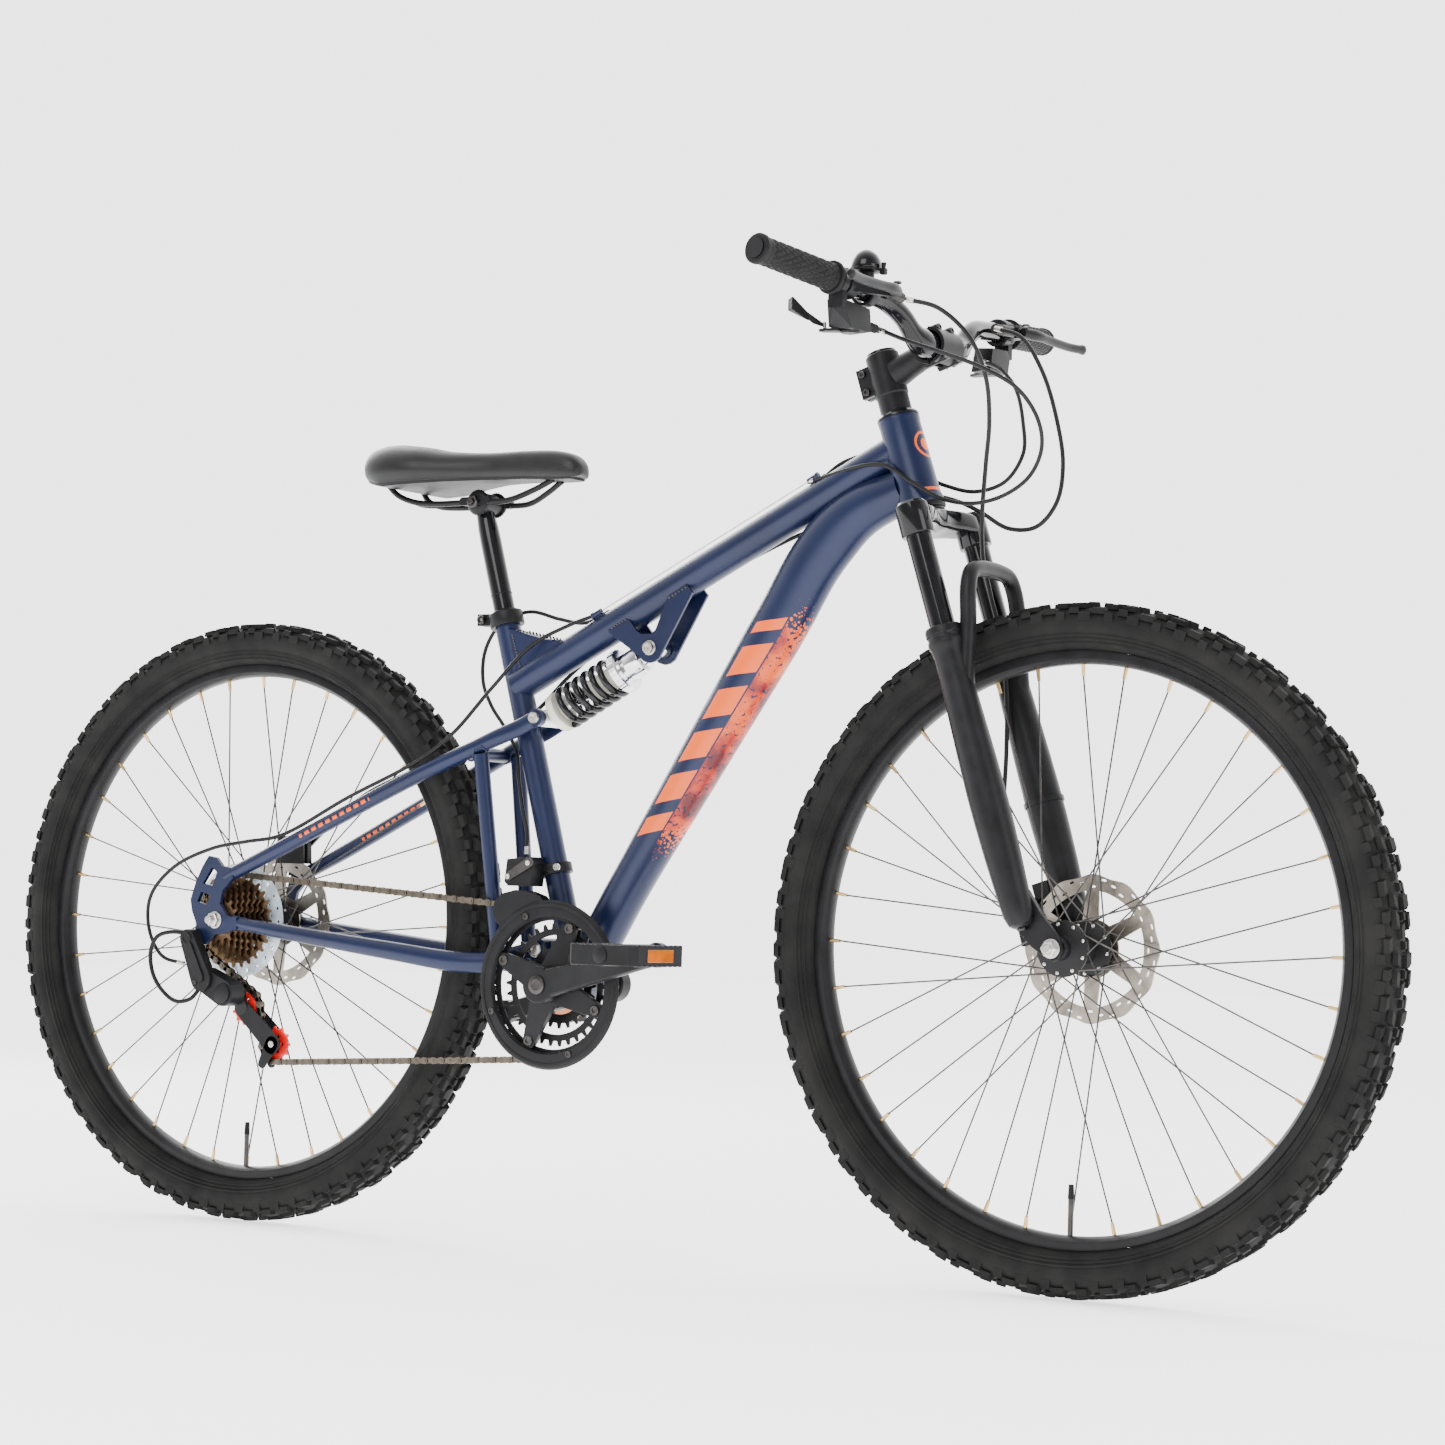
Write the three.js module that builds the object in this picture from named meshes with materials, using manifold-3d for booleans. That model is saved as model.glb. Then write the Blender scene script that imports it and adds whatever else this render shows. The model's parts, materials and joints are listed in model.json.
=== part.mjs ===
// Full-suspension mountain bike with 29 inch wheels, built piece by piece.
// Millimetres, +Z up, +X forwards, +Y to the rider's left; the drive side is -Y.
// The origin is on the ground, halfway between the two tyre contact points.
import * as THREE from 'three';
import { mergeVertices } from 'three/addons/utils/BufferGeometryUtils.js';
import { ConvexGeometry } from 'three/addons/geometries/ConvexGeometry.js';
import Module from 'manifold-3d';

const wasm = await Module();
wasm.setup();

// ---------------------------------------------------------------- driving dimensions
const WHEEL_BASE = 1132;
const TYRE_RADIUS = 368;
const FRONT_X = WHEEL_BASE / 2;
const REAR_X = -WHEEL_BASE / 2;
const AXLE_Z = TYRE_RADIUS;
const RIM_INNER = 302;
const RIM_OUTER = 316;
const RIM_HALF_WIDTH = 13;
const ROTOR_RADIUS = 80;
const SPOKES = 36;

const HEAD_TILT = THREE.MathUtils.degToRad(18);
const HEAD_X = 349;
const HEAD_Z = 894.4;
const HEAD_HALF = 52;
const FORK_OFFSET = 43.6;
const AXLE_DROP = -567.7;
const LEG_X = 20;
const LEG_Y = 65;
const STANCHION = 14;

const SEAT_TILT = THREE.MathUtils.degToRad(15.75);
const BB_X = -74;
const BB_Z = 307;
const PIVOT_X = -112;
const PIVOT_Z = 346;
const SHOCK_TOP_X = 22.7;
const SHOCK_TOP_Z = 695;
const SHOCK_LOW_X = -126;
const SHOCK_LOW_Z = 615;

const CRANK_LENGTH = 170;
const CRANK_ANGLE = THREE.MathUtils.degToRad(13.3);
const GUARD_RADIUS = 97;
const CHAIN_RING = 85;
const LARGE_COG = 56.6;
const PULLEY = 22;
const RING_PLANE = -52;
const COG_PLANE = -36;
const GAP = 0.3;

// ---------------------------------------------------------------- materials
const paint = (color, roughness, metalness = 0) =>
  new THREE.MeshStandardMaterial({ color, roughness, metalness });
const navy = paint(0x1c2c5a, 0.35, 0.4);
const satinBlack = paint(0x17171a, 0.45, 0.3);
const glossBlack = paint(0x0b0b0d, 0.15, 0.5);
const rubber = paint(0x1d1c1b, 0.85);
const resin = paint(0x151516, 0.55);
const vinyl = paint(0x101011, 0.5);
const chrome = paint(0xd8d8da, 0.15, 1);
const steel = paint(0x9a9488, 0.35, 0.9);
const brownSteel = paint(0x4a3a28, 0.4, 0.8);
const redResin = paint(0xd01818, 0.45);

// ---------------------------------------------------------------- geometry helpers
const V = (x, y, z) => new THREE.Vector3(x, y, z);
const sorted = (a, b) => [Math.min(a, b), Math.max(a, b)];

function toManifold(geometry) {
  const bare = new THREE.BufferGeometry();
  bare.setAttribute('position', geometry.attributes.position.clone());
  if (geometry.index) bare.setIndex(geometry.index.clone());
  const merged = mergeVertices(bare, 1e-4);
  return new wasm.Manifold(new wasm.Mesh({
    numProp: 3,
    vertProperties: new Float32Array(merged.attributes.position.array),
    triVerts: new Uint32Array(merged.index.array),
  }));
}

function toGeometry(solid) {
  const mesh = solid.getMesh();
  const geometry = new THREE.BufferGeometry();
  geometry.setAttribute('position', new THREE.BufferAttribute(mesh.vertProperties, 3));
  geometry.setIndex(new THREE.BufferAttribute(mesh.triVerts, 1));
  geometry.computeVertexNormals();
  return geometry;
}

const join = (...shapes) =>
  toGeometry(shapes.map(toManifold).reduce((sum, next) => sum.add(next)));
const cut = (shape, ...tools) =>
  toGeometry(tools.map(toManifold).reduce((rest, tool) => rest.subtract(tool), toManifold(shape)));

function volume(geometry) {
  const p = geometry.attributes.position;
  const index = geometry.index.array;
  let sum = 0;
  for (let i = 0; i < index.length; i += 3) {
    const [a, b, c] = [0, 1, 2].map((k) => new THREE.Vector3().fromBufferAttribute(p, index[i + k]));
    sum += a.dot(b.cross(c));
  }
  return sum / 6;
}

// Closed skin through rings of points; `cyclic` joins the last ring to the first.
function loft(rings, cyclic = false) {
  const count = rings[0].length;
  const points = rings.flat();
  const faces = [];
  const last = cyclic ? rings.length : rings.length - 1;
  for (let i = 0; i < last; i++) {
    const next = (i + 1) % rings.length;
    for (let j = 0; j < count; j++) {
      const k = (j + 1) % count;
      const [a, b, c, d] = [i * count + j, i * count + k, next * count + k, next * count + j];
      faces.push(a, b, c, a, c, d);
    }
  }
  if (!cyclic) {
    for (let j = 1; j < count - 1; j++) {
      const end = (rings.length - 1) * count;
      faces.push(0, j + 1, j, end, end + j, end + j + 1);
    }
  }
  const geometry = new THREE.BufferGeometry().setFromPoints(points);
  geometry.setIndex(faces);
  if (volume(geometry) < 0) geometry.setIndex(faces.reverse());
  return geometry;
}

// Sweep of an ellipse along points; each size is a radius or [in-plane, sideways].
function sweep(path, sizes, sides = 12, cyclic = false) {
  const count = path.length;
  const tangents = path.map((p, i) => {
    const before = cyclic ? path[(i + count - 1) % count] : path[Math.max(i - 1, 0)];
    const after = cyclic ? path[(i + 1) % count] : path[Math.min(i + 1, count - 1)];
    return after.clone().sub(before).normalize();
  });
  let normal = V(0, 1, 0).cross(tangents[0]);
  if (normal.length() < 0.2) normal = V(0, 0, 1).cross(tangents[0]);
  normal.normalize();
  const rings = path.map((p, i) => {
    if (i > 0) {
      const turn = new THREE.Quaternion().setFromUnitVectors(tangents[i - 1], tangents[i]);
      normal = normal.clone().applyQuaternion(turn).normalize();
    }
    const side = tangents[i].clone().cross(normal);
    const size = Array.isArray(sizes) ? sizes[i] : sizes;
    const [a, b] = Array.isArray(size) ? size : [size, size];
    return Array.from({ length: sides }, (_, j) => {
      const angle = (j + 0.5) * 2 * Math.PI / sides;
      return p.clone().addScaledVector(normal, a * Math.cos(angle))
        .addScaledVector(side, b * Math.sin(angle));
    });
  });
  return loft(rings, cyclic);
}

function smooth(points, count) {
  return new THREE.CatmullRomCurve3(points, false, 'centripetal').getSpacedPoints(count);
}

// Tube of constant section along a smooth curve through the points.
function tube(points, radius, sides = 8, steps = 24) {
  const section = new THREE.Shape(Array.from({ length: sides }, (_, j) => {
    const angle = j * 2 * Math.PI / sides;
    return new THREE.Vector2(radius * Math.cos(angle), radius * Math.sin(angle));
  }));
  const path = new THREE.CatmullRomCurve3(points, false, 'centripetal');
  return new THREE.ExtrudeGeometry(section, { steps, bevelEnabled: false, extrudePath: path });
}

function rod(from, to, radius, sides = 10, endRadius = radius) {
  return sweep([from, to], [radius, endRadius], sides);
}

const rodY = (x, z, y0, y1, radius, sides = 10) => rod(V(x, y0, z), V(x, y1, z), radius, sides);

// Revolved solid about the Y axis through (x, z); the profile lists [radius, y].
function turned(profile, x, z, segments = 24) {
  const points = profile.map(([radius, y]) => new THREE.Vector2(radius, y));
  points.push(points[0].clone());
  const geometry = new THREE.LatheGeometry(points, segments);
  geometry.deleteAttribute('normal');
  geometry.deleteAttribute('uv');
  const merged = mergeVertices(geometry, 1e-4);
  if (volume(merged) < 0) merged.setIndex(Array.from(merged.index.array).reverse());
  return merged.translate(x, 0, z);
}

// The same about the Z axis; the profile lists [radius, z].
function upright(profile, x, y, segments = 14) {
  return turned(profile, 0, 0, segments).rotateX(Math.PI / 2).translate(x, y, 0);
}

const box = (x0, x1, y0, y1, z0, z1) =>
  new THREE.BoxGeometry(x1 - x0, y1 - y0, z1 - z0).translate((x0 + x1) / 2, (y0 + y1) / 2, (z0 + z1) / 2);

// Flat plate in the XZ plane between y0 and y1, with optional holes.
function plate(outline, y0, y1, holes = []) {
  const toPoints = (list) => {
    const points = list.map(([x, z]) => new THREE.Vector2(x, z));
    return THREE.ShapeUtils.isClockWise(points) ? points.reverse() : points;
  };
  const shape = new THREE.Shape(toPoints(outline));
  shape.holes = holes.map((hole) => new THREE.Path(toPoints(hole)));
  const geometry = new THREE.ExtrudeGeometry(shape, { depth: y1 - y0, bevelEnabled: false });
  return geometry.rotateX(Math.PI / 2).translate(0, y1, 0);
}

const circlePoints = (x, z, radius, sides = 16) => Array.from({ length: sides }, (_, j) => {
  const angle = j * 2 * Math.PI / sides;
  return [x + radius * Math.cos(angle), z + radius * Math.sin(angle)];
});

const hull = (...points) => new ConvexGeometry(points);

// Bar with round ends of radii r0 and r1, flat along Y, each end with its own y range.
function link(x0, z0, r0, y0, x1, z1, r1, y1, sides = 10) {
  const ends = [[x0, z0, r0, y0], [x1, z1, r1, y1]];
  return hull(...ends.flatMap(([x, z, r, ys]) =>
    circlePoints(x, z, r, sides).flatMap(([px, pz]) => ys.map((y) => V(px, y, pz)))));
}

const polar = (x, z, radius, angle) => [x + radius * Math.cos(angle), z + radius * Math.sin(angle)];

// ---------------------------------------------------------------- scene groups
const bike = new THREE.Group();
const steering = new THREE.Group();
steering.position.set(HEAD_X, 0, HEAD_Z);
steering.rotation.y = -HEAD_TILT;
bike.add(steering);
steering.updateMatrixWorld();

function add(name, geometry, material, group = bike) {
  const mesh = new THREE.Mesh(geometry, material);
  mesh.name = name;
  group.add(mesh);
}

const intoFrame = (geometry) => geometry.clone().applyMatrix4(steering.matrixWorld);
const onSteering = (x, y, z) => V(x, y, z).applyMatrix4(steering.matrixWorld);

// ---------------------------------------------------------------- wheels
const TYRE_PROFILE = [
  [RIM_OUTER + GAP, -12], [RIM_OUTER + 24, -28.5], [TYRE_RADIUS - 12, -25], [TYRE_RADIUS, -10],
  [TYRE_RADIUS, 10], [TYRE_RADIUS - 12, 25], [RIM_OUTER + 24, 28.5], [RIM_OUTER + GAP, 12],
];
const RIM_PROFILE = [
  [RIM_INNER, -7], [RIM_OUTER, -RIM_HALF_WIDTH], [RIM_OUTER, RIM_HALF_WIDTH], [RIM_INNER, 7],
];
const WHEEL_SEGMENTS = 36;

function tyreAndRim(prefix, x) {
  add(prefix + '_tyre', turned(TYRE_PROFILE, x, AXLE_Z, WHEEL_SEGMENTS), rubber);
  add(prefix + '_rim', turned(RIM_PROFILE, x, AXLE_Z, WHEEL_SEGMENTS), satinBlack);
}

// Spokes laced three-cross from the two flanges to the rim.
function spokes(x, flangeRadius, flangeYs) {
  const crossing = 6 * Math.PI / 9;
  return Array.from({ length: SPOKES }, (_, i) => {
    const flangeY = flangeYs[i % 2];
    const direction = Math.floor(i / 2) % 2 ? 1 : -1;
    const rimAngle = i * 2 * Math.PI / SPOKES;
    const hubAngle = rimAngle + direction * crossing / 2;
    const [hubX, hubZ] = polar(x, AXLE_Z, flangeRadius - 4, hubAngle);
    const [rimX, rimZ] = polar(x, AXLE_Z, RIM_INNER - 1.2, rimAngle);
    const slack = direction * 1.3;
    return rod(V(hubX, flangeY + slack, hubZ), V(rimX, flangeY * 0.08, rimZ), 1.1, 3);
  });
}

function hub(x, flangeRadius, rightFlange, leftFlange, halfLength, rightBarrel, rotorY) {
  const barrel = [
    [5.4, -halfLength], [rightBarrel, -halfLength], [rightBarrel, rightFlange - 3],
    [flangeRadius, rightFlange - 2], [flangeRadius, rightFlange + 2], [15, rightFlange + 5],
    [15, leftFlange - 5], [flangeRadius, leftFlange - 2], [flangeRadius, leftFlange + 2],
    [21, leftFlange + 4], [21, rotorY + 1.2], [11, rotorY + 3], [11, halfLength], [5.4, halfLength],
  ];
  return join(turned(barrel, x, AXLE_Z, 12), ...spokes(x, flangeRadius, [rightFlange, leftFlange]));
}

function rotor(x, y) {
  const windows = Array.from({ length: 6 }, (_, i) => {
    const middle = i * Math.PI / 3;
    const arc = (radius, from, to) => [0, 1.5, 3].map((k) =>
      polar(x, AXLE_Z, radius, middle + from + (to - from) * k / 3));
    return [...arc(64, -0.36, 0.36), ...arc(31, 0.3, -0.1)];
  });
  const holes = [...windows, circlePoints(x, AXLE_Z, 22, 12)];
  return plate(circlePoints(x, AXLE_Z, ROTOR_RADIUS, 24), y - 0.9, y + 0.9, holes);
}

const FRONT_ROTOR_Y = 36;
const REAR_ROTOR_Y = 49;
tyreAndRim('front', FRONT_X);
add('front_hub', hub(FRONT_X, 30, -32, 23, 48.5, 11, FRONT_ROTOR_Y), satinBlack);
add('front_rotor', rotor(FRONT_X, FRONT_ROTOR_Y), steel);
tyreAndRim('rear', REAR_X);
const protector = turned([[11, -27], [70, -28.2], [70, -29.6], [11, -28.6]], REAR_X, AXLE_Z, 20);
add('rear_hub', join(hub(REAR_X, 30, -22, 34, 66.5, 12, REAR_ROTOR_Y), protector), satinBlack);
add('rear_rotor', rotor(REAR_X, REAR_ROTOR_Y), steel);

// Seven-speed freewheel, largest cog inboard; the chain beds 4.3 mm below its pitch line.
const COG_RADII = [LARGE_COG, 48.7, 44.6, 40.6, 36.6, 32.5, 28.5];
const COG_STEP = 4.8;
const cogProfile = COG_RADII.flatMap((radius, i) => [
  [radius - 4.3, COG_PLANE + 1 - COG_STEP * i + (i ? 2.6 : 0)],
  [radius - 4.3, COG_PLANE - 1 - COG_STEP * i],
]);
add('freewheel', turned(
  [[12 + GAP, COG_PLANE + 1], ...cogProfile, [12 + GAP, -66]], REAR_X, AXLE_Z, 16,
), brownSteel);

// ---------------------------------------------------------------- chain
// Belt around wheels {x, z, r, y}; r is negative where the chain runs anticlockwise.
function beltPath(wheels, stepLength) {
  const right = (angle) => [Math.sin(angle), -Math.cos(angle)];
  const angles = wheels.map((a, i) => {
    const b = wheels[(i + 1) % wheels.length];
    const span = Math.hypot(b.x - a.x, b.z - a.z);
    return Math.atan2(b.z - a.z, b.x - a.x) + Math.asin((b.r - a.r) / span);
  });
  const points = [];
  wheels.forEach((wheel, i) => {
    const from = angles[(i + wheels.length - 1) % wheels.length];
    let to = angles[i];
    if (wheel.r > 0) while (to > from) to -= 2 * Math.PI;
    if (wheel.r < 0) while (to < from) to += 2 * Math.PI;
    const steps = Math.max(2, Math.ceil(Math.abs((to - from) * wheel.r) / stepLength));
    for (let k = 0; k <= steps; k++) {
      const [rx, rz] = right(from + (to - from) * k / steps);
      points.push(V(wheel.x - wheel.r * rx, wheel.y, wheel.z - wheel.r * rz));
    }
  });
  return points;
}

const GUIDE = { x: -543, z: 262, r: -PULLEY, y: COG_PLANE };
const TENSION = { x: -494, z: 220, r: PULLEY, y: COG_PLANE };
const chainPath = beltPath([
  { x: BB_X, z: BB_Z, r: CHAIN_RING, y: RING_PLANE }, TENSION, GUIDE,
  { x: REAR_X, z: AXLE_Z, r: LARGE_COG, y: COG_PLANE },
], 16);
add('chain', sweep(chainPath, chainPath.map(() => 5.2), 4, true), steel);

// ---------------------------------------------------------------- frame tubes
const seatAxis = V(-Math.sin(SEAT_TILT), 0, Math.cos(SEAT_TILT));
const alongSeat = (distance) => V(BB_X, 0, BB_Z).addScaledVector(seatAxis, distance);
const SEAT_TOP = 452;
const headOuter = upright([[17, -HEAD_HALF], [26, -HEAD_HALF], [22.5, HEAD_HALF], [17, HEAD_HALF]], 0, 0, 24);
add('head_tube', headOuter, navy, steering);
const headCutter = intoFrame(rod(V(0, 0, -HEAD_HALF - 12), V(0, 0, HEAD_HALF + 12), 26.8, 24, 22.4));

const seatOuter = (grow) => rod(alongSeat(0), alongSeat(SEAT_TOP), 15 + grow, 16);
const shellOuter = (grow) => rodY(BB_X, BB_Z, -34 - grow, 34 + grow, 20 + grow, 16);
const pivotOuter = (grow) => rodY(PIVOT_X, PIVOT_Z, -22 - grow, 22 + grow, 13 + grow, 16);
const seatTube = cut(
  join(seatOuter(0), shellOuter(0), pivotOuter(0)),
  rod(alongSeat(190), alongSeat(SEAT_TOP + 5), 13, 16),
  rodY(BB_X, BB_Z, -40, 40, 17.4, 16),
  rodY(PIVOT_X, PIVOT_Z, -30, 30, 6.4, 12),
);
add('seat_tube', seatTube, navy);

const TOP_START = V(-173, 0, 654.5);
const TOP_END = V(334, 0, 910);
const topTubeRound = (grow) => rod(TOP_START, TOP_END, 19 + grow, 16);
const gusset = hull(
  V(-186, -12, 724), V(-186, 12, 724), V(-98, -3, 706), V(-98, 3, 706),
  V(-166, -15, 665), V(-166, 15, 665), V(-60, -12, 714), V(-60, 12, 714),
);
add('top_tube', cut(join(topTubeRound(0), gusset), seatOuter(GAP), headCutter), navy);

const downPath = smooth([
  V(-66, 0, 326), V(-39, 0, 369), V(-17, 0, 406), V(86, 0, 565), V(190, 0, 724), V(236, 0, 796),
  V(282, 0, 840), V(345, 0, 866),
], 10);
const downSizes = downPath.map((p, i) => {
  const t = i / (downPath.length - 1);
  const height = 24 + 9 * Math.min(1, Math.max(0, (t - 0.2) / 0.45)) - 9 * Math.max(0, (t - 0.85) / 0.15);
  return [height, 24 + 3 * Math.sin(Math.PI * t)];
});
add('down_tube', cut(
  sweep(downPath, downSizes, 14), topTubeRound(GAP), headCutter, seatOuter(GAP), shellOuter(GAP),
), navy);

// Cartridge bottom bracket: a sleeve with a flange outside each end of the shell.
add('bottom_bracket', turned([
  [9.2, -37], [19.5, -37], [19.5, -34.5], [16.8, -34.5], [16.8, 34.5], [19.5, 34.5], [19.5, 37], [9.2, 37],
], BB_X, BB_Z, 16), steel);

// Pair of plates below the top tube, with the bolt that carries the shock's upper eye.
const bracketOutline = [
  [-36, 720], [-12, 733], [7, 712], [22, 712], [46, 754], [70, 767], [78, 757], [36, 686], [22.7, 679.5],
  [9, 686],
];
const shockBolt = rodY(SHOCK_TOP_X, SHOCK_TOP_Z, -22, 22, 4, 12);
const boltHeads = [-24, 22].map((y) => rodY(SHOCK_TOP_X, SHOCK_TOP_Z, y - 0.5, y + 2.5, 7, 12));
add('shock_bracket', cut(
  join(plate(bracketOutline, 14, 18), plate(bracketOutline, -18, -14), shockBolt, ...boltHeads),
  topTubeRound(GAP),
), navy);

const clampBase = SEAT_TOP - 17;
const collarRing = rod(alongSeat(clampBase), alongSeat(clampBase + 16), 20, 20);
const collarLugs = box(-36, -10, -9, 9, 0, 14);
collarLugs.rotateY(-SEAT_TILT).translate(alongSeat(clampBase).x, 0, alongSeat(clampBase).z);
add('seat_clamp', cut(
  join(collarRing, collarLugs), rod(alongSeat(clampBase - 5), alongSeat(clampBase + 22), 15 + GAP, 20),
), satinBlack);

const MECH_HEIGHT = 137;
const bandAt = alongSeat(MECH_HEIGHT);
const mechBand = rod(alongSeat(MECH_HEIGHT - 6), alongSeat(MECH_HEIGHT + 6), 19, 20);
const mechBody = box(bandAt.x - 44, bandAt.x - 4, -42, -15, bandAt.z - 20, bandAt.z + 14);
const bandBolt = rod(V(bandAt.x + 16, 0, bandAt.z + 3), V(bandAt.x + 34, -3, bandAt.z + 6), 4, 10);
add('front_derailleur_body', cut(
  join(mechBand, mechBody, bandBolt), seatOuter(GAP),
), satinBlack);

// Cage plates either side of the chain, hollowed over the large ring and bridged at both ends.
const cageArc = [98, 108, 118, 128, 138].map(
  (angle) => polar(BB_X, BB_Z, 91, THREE.MathUtils.degToRad(angle)));
const cageOutline = [...cageArc, [-154, 378], [-156, 400], [-145, 410], [-108, 413], [-86, 405]];
add('front_derailleur_cage', join(
  plate(cageOutline, -59.4, -57.8), plate(cageOutline, -44.6, -42.9),
  box(-122, -104, -59, -43, 407.5, 412), box(-155, -150.6, -59, -43, 378.5, 385),
), satinBlack);

// ---------------------------------------------------------------- seatpost and saddle
const POST_TOP = 588;

const SADDLE_X = -228;
const CLAMP_Z = 872;
add('seatpost', cut(
  rod(alongSeat(330), alongSeat(POST_TOP), 12.6, 16), rodY(SADDLE_X, CLAMP_Z, -35, 35, 13.5, 20),
), glossBlack);
const railSide = (side) => tube([
  V(-346, 30 * side, 890), V(-322, 27 * side, 874), V(-290, 23 * side, CLAMP_Z), V(SADDLE_X, 22 * side, CLAMP_Z),
  V(-180, 21 * side, CLAMP_Z), V(-148, 15 * side, 884), V(-128, 9 * side, 893),
], 3.5, 6, 12);
add('saddle_rails', join(
  railSide(1), railSide(-1), rodY(SADDLE_X, CLAMP_Z, -30, 30, 13, 16),
), satinBlack);

// Saddle stations: [x, half width, top, underside].
const SADDLE = [
  [-373, 46, 934, 908], [-366, 66, 942, 897], [-340, 77, 945, 893], [-300, 74, 940, 895],
  [-260, 55, 934, 897], [-215, 33, 932, 899], [-165, 25, 933, 899], [-120, 22, 930, 896],
  [-98, 18, 922, 896], [-88, 10, 912, 899],
];
const saddleRings = SADDLE.map(([x, half, top, under]) => [
  [-0.45, 1], [-0.85, 0.8], [-1, 0.42], [-0.96, 0.1], [-0.6, 0], [0.6, 0], [0.96, 0.1], [1, 0.42],
  [0.85, 0.8], [0.45, 1],
].map(([across, up]) => V(x, across * half, under + up * (top - under))));
add('saddle_cover', loft(saddleRings), vinyl);

// ---------------------------------------------------------------- fork and steering parts
const crownArch = hull(
  V(-20, -16, -60), V(-20, 16, -60), V(22, -18, -60), V(22, 18, -60), V(-16, -16, -84), V(-16, 16, -84),
  V(24, -18, -86), V(24, 18, -86), V(6, -62, -66), V(6, 62, -66), V(32, -62, -66), V(32, 62, -66),
  V(8, -58, -84), V(8, 58, -84), V(32, -58, -84), V(32, 58, -84),
);
const sleeves = [-LEG_Y, LEG_Y].map((y) =>
  upright([[0, -99], [18, -99], [18, -66], [13, -61], [0, -61]], LEG_X, y));
const stanchions = [-LEG_Y, LEG_Y].map((y) => rod(V(LEG_X, y, -278), V(LEG_X, y, -90), STANCHION, 12));
add('fork_crown', join(
  upright([[0, -62], [24, -62], [24, -HEAD_HALF - GAP], [14.3, -HEAD_HALF - GAP], [14.3, 124], [0, 124]], 0, 0),
  crownArch, ...sleeves, ...stanchions,
), glossBlack, steering);

// Lower legs slide on the stanchions; the bores are open at the top.
const LEG_PROFILE = [
  [0, -204], [19.5, -204], [20.5, -224], [17.5, -240], [21, -400], [19.5, -470], [16.5, -524], [10, -537], [0, -537],
];
const legs = [-LEG_Y, LEG_Y].map((y) => upright(LEG_PROFILE, LEG_X, y, 12));
const dropout = (y0, y1) => hull(
  ...[y0, y1].flatMap((y) => [
    V(8, y, -508), V(32, y, -508), V(52, y, -552), V(56, y, -567), V(50, y, -580), V(36, y, -581),
    V(28, y, -570), V(10, y, -536),
  ]),
);
const archPath = smooth([
  V(33, -60, -262), V(42, -59, -225), V(54, -56, -180), V(58, -44, -153), V(58, -22, -147),
  V(58, 22, -147), V(58, 44, -153), V(54, 56, -180), V(42, 59, -225), V(33, 60, -262),
], 18);
const caliperTab = box(-16, 4, 55, 60, -552, -478);
add('fork_lowers', cut(
  join(...legs, sweep(archPath, 9, 8), dropout(-59, -51), dropout(51, 59), caliperTab),
  ...[-LEG_Y, LEG_Y].map((y) => rod(V(LEG_X, y, -350), V(LEG_X, y, -190), STANCHION + 0.7, 12)),
  rod(V(FORK_OFFSET, -80, AXLE_DROP), V(FORK_OFFSET, 80, AXLE_DROP), 5.3, 12),
), satinBlack, steering);

const hexNut = (x, z, y0, y1) => rodY(x, z, y0, y1, 9, 6);
add('front_axle', join(
  rodY(FRONT_X, AXLE_Z, -70, 70, 4.9, 12),
  hexNut(FRONT_X, AXLE_Z, -67, -59.4), hexNut(FRONT_X, AXLE_Z, 59.4, 67),
), steel);

const rotorSlot = (x, z, y) => rodY(x, z, y - 2.3, y + 2.3, ROTOR_RADIUS + 2.5, 32);
add('front_caliper', cut(
  box(-34, 0, FRONT_ROTOR_Y - 7, 54.6, -544, -496), rotorSlot(FORK_OFFSET, AXLE_DROP, FRONT_ROTOR_Y),
), satinBlack, steering);

const armPivot = onSteering(-26, 0, -520);
add('front_brake_arm', link(
  armPivot.x, armPivot.z, 8, [55.2, 59], armPivot.x - 26, armPivot.z + 26, 5, [55.2, 59]),
  steel);

const STEM_X = 68.7;
const BAR_Z = 110;
add('stem', cut(join(
  upright([[14.3 + GAP, HEAD_HALF + GAP], [21, HEAD_HALF + GAP], [20, 58], [17.5, 59], [17.5, 79],
    [18.5, 80], [18.5, 128], [14.3 + GAP, 128]], 0, 0),
  rod(V(16, 0, 103), V(STEM_X - 6, 0, BAR_Z), 14.5, 16),
  rod(V(STEM_X, -23, BAR_Z), V(STEM_X, 23, BAR_Z), 21, 20),
  box(-33, -14, -9, 9, 86, 120),
), rod(V(0, 0, 50), V(0, 0, 140), 14.3 + GAP, 20),
rod(V(STEM_X, -30, BAR_Z), V(STEM_X, 30, BAR_Z), 16.4, 20)),
satinBlack, steering);

// Riser bar in world axes: [y, x, z] of the right half, mirrored for the left.
const BAR_MIDDLE = onSteering(STEM_X, 0, BAR_Z);
const BAR_HALF = [
  [8, 0, 0], [32, 0, 0], [50, -1, 6], [74, -4, 24], [98, -9, 35], [130, -13, 40], [196, -19, 46], [321, -38, 58],
];
const barAt = (side) => BAR_HALF.map(([y, dx, dz]) => V(BAR_MIDDLE.x + dx, side * y, BAR_MIDDLE.z + dz));
const barPoints = [...barAt(-1).reverse(), ...barAt(1)];
const barPath = new THREE.CatmullRomCurve3(barPoints, false, 'centripetal').getSpacedPoints(28);
const barRadius = (p) => (Math.abs(p.y) < 42 ? 15.3 : Math.abs(p.y) < 62 ? 13.5 : 11);
add('handlebar', sweep(barPath, barPath.map(barRadius), 10), glossBlack);

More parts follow.
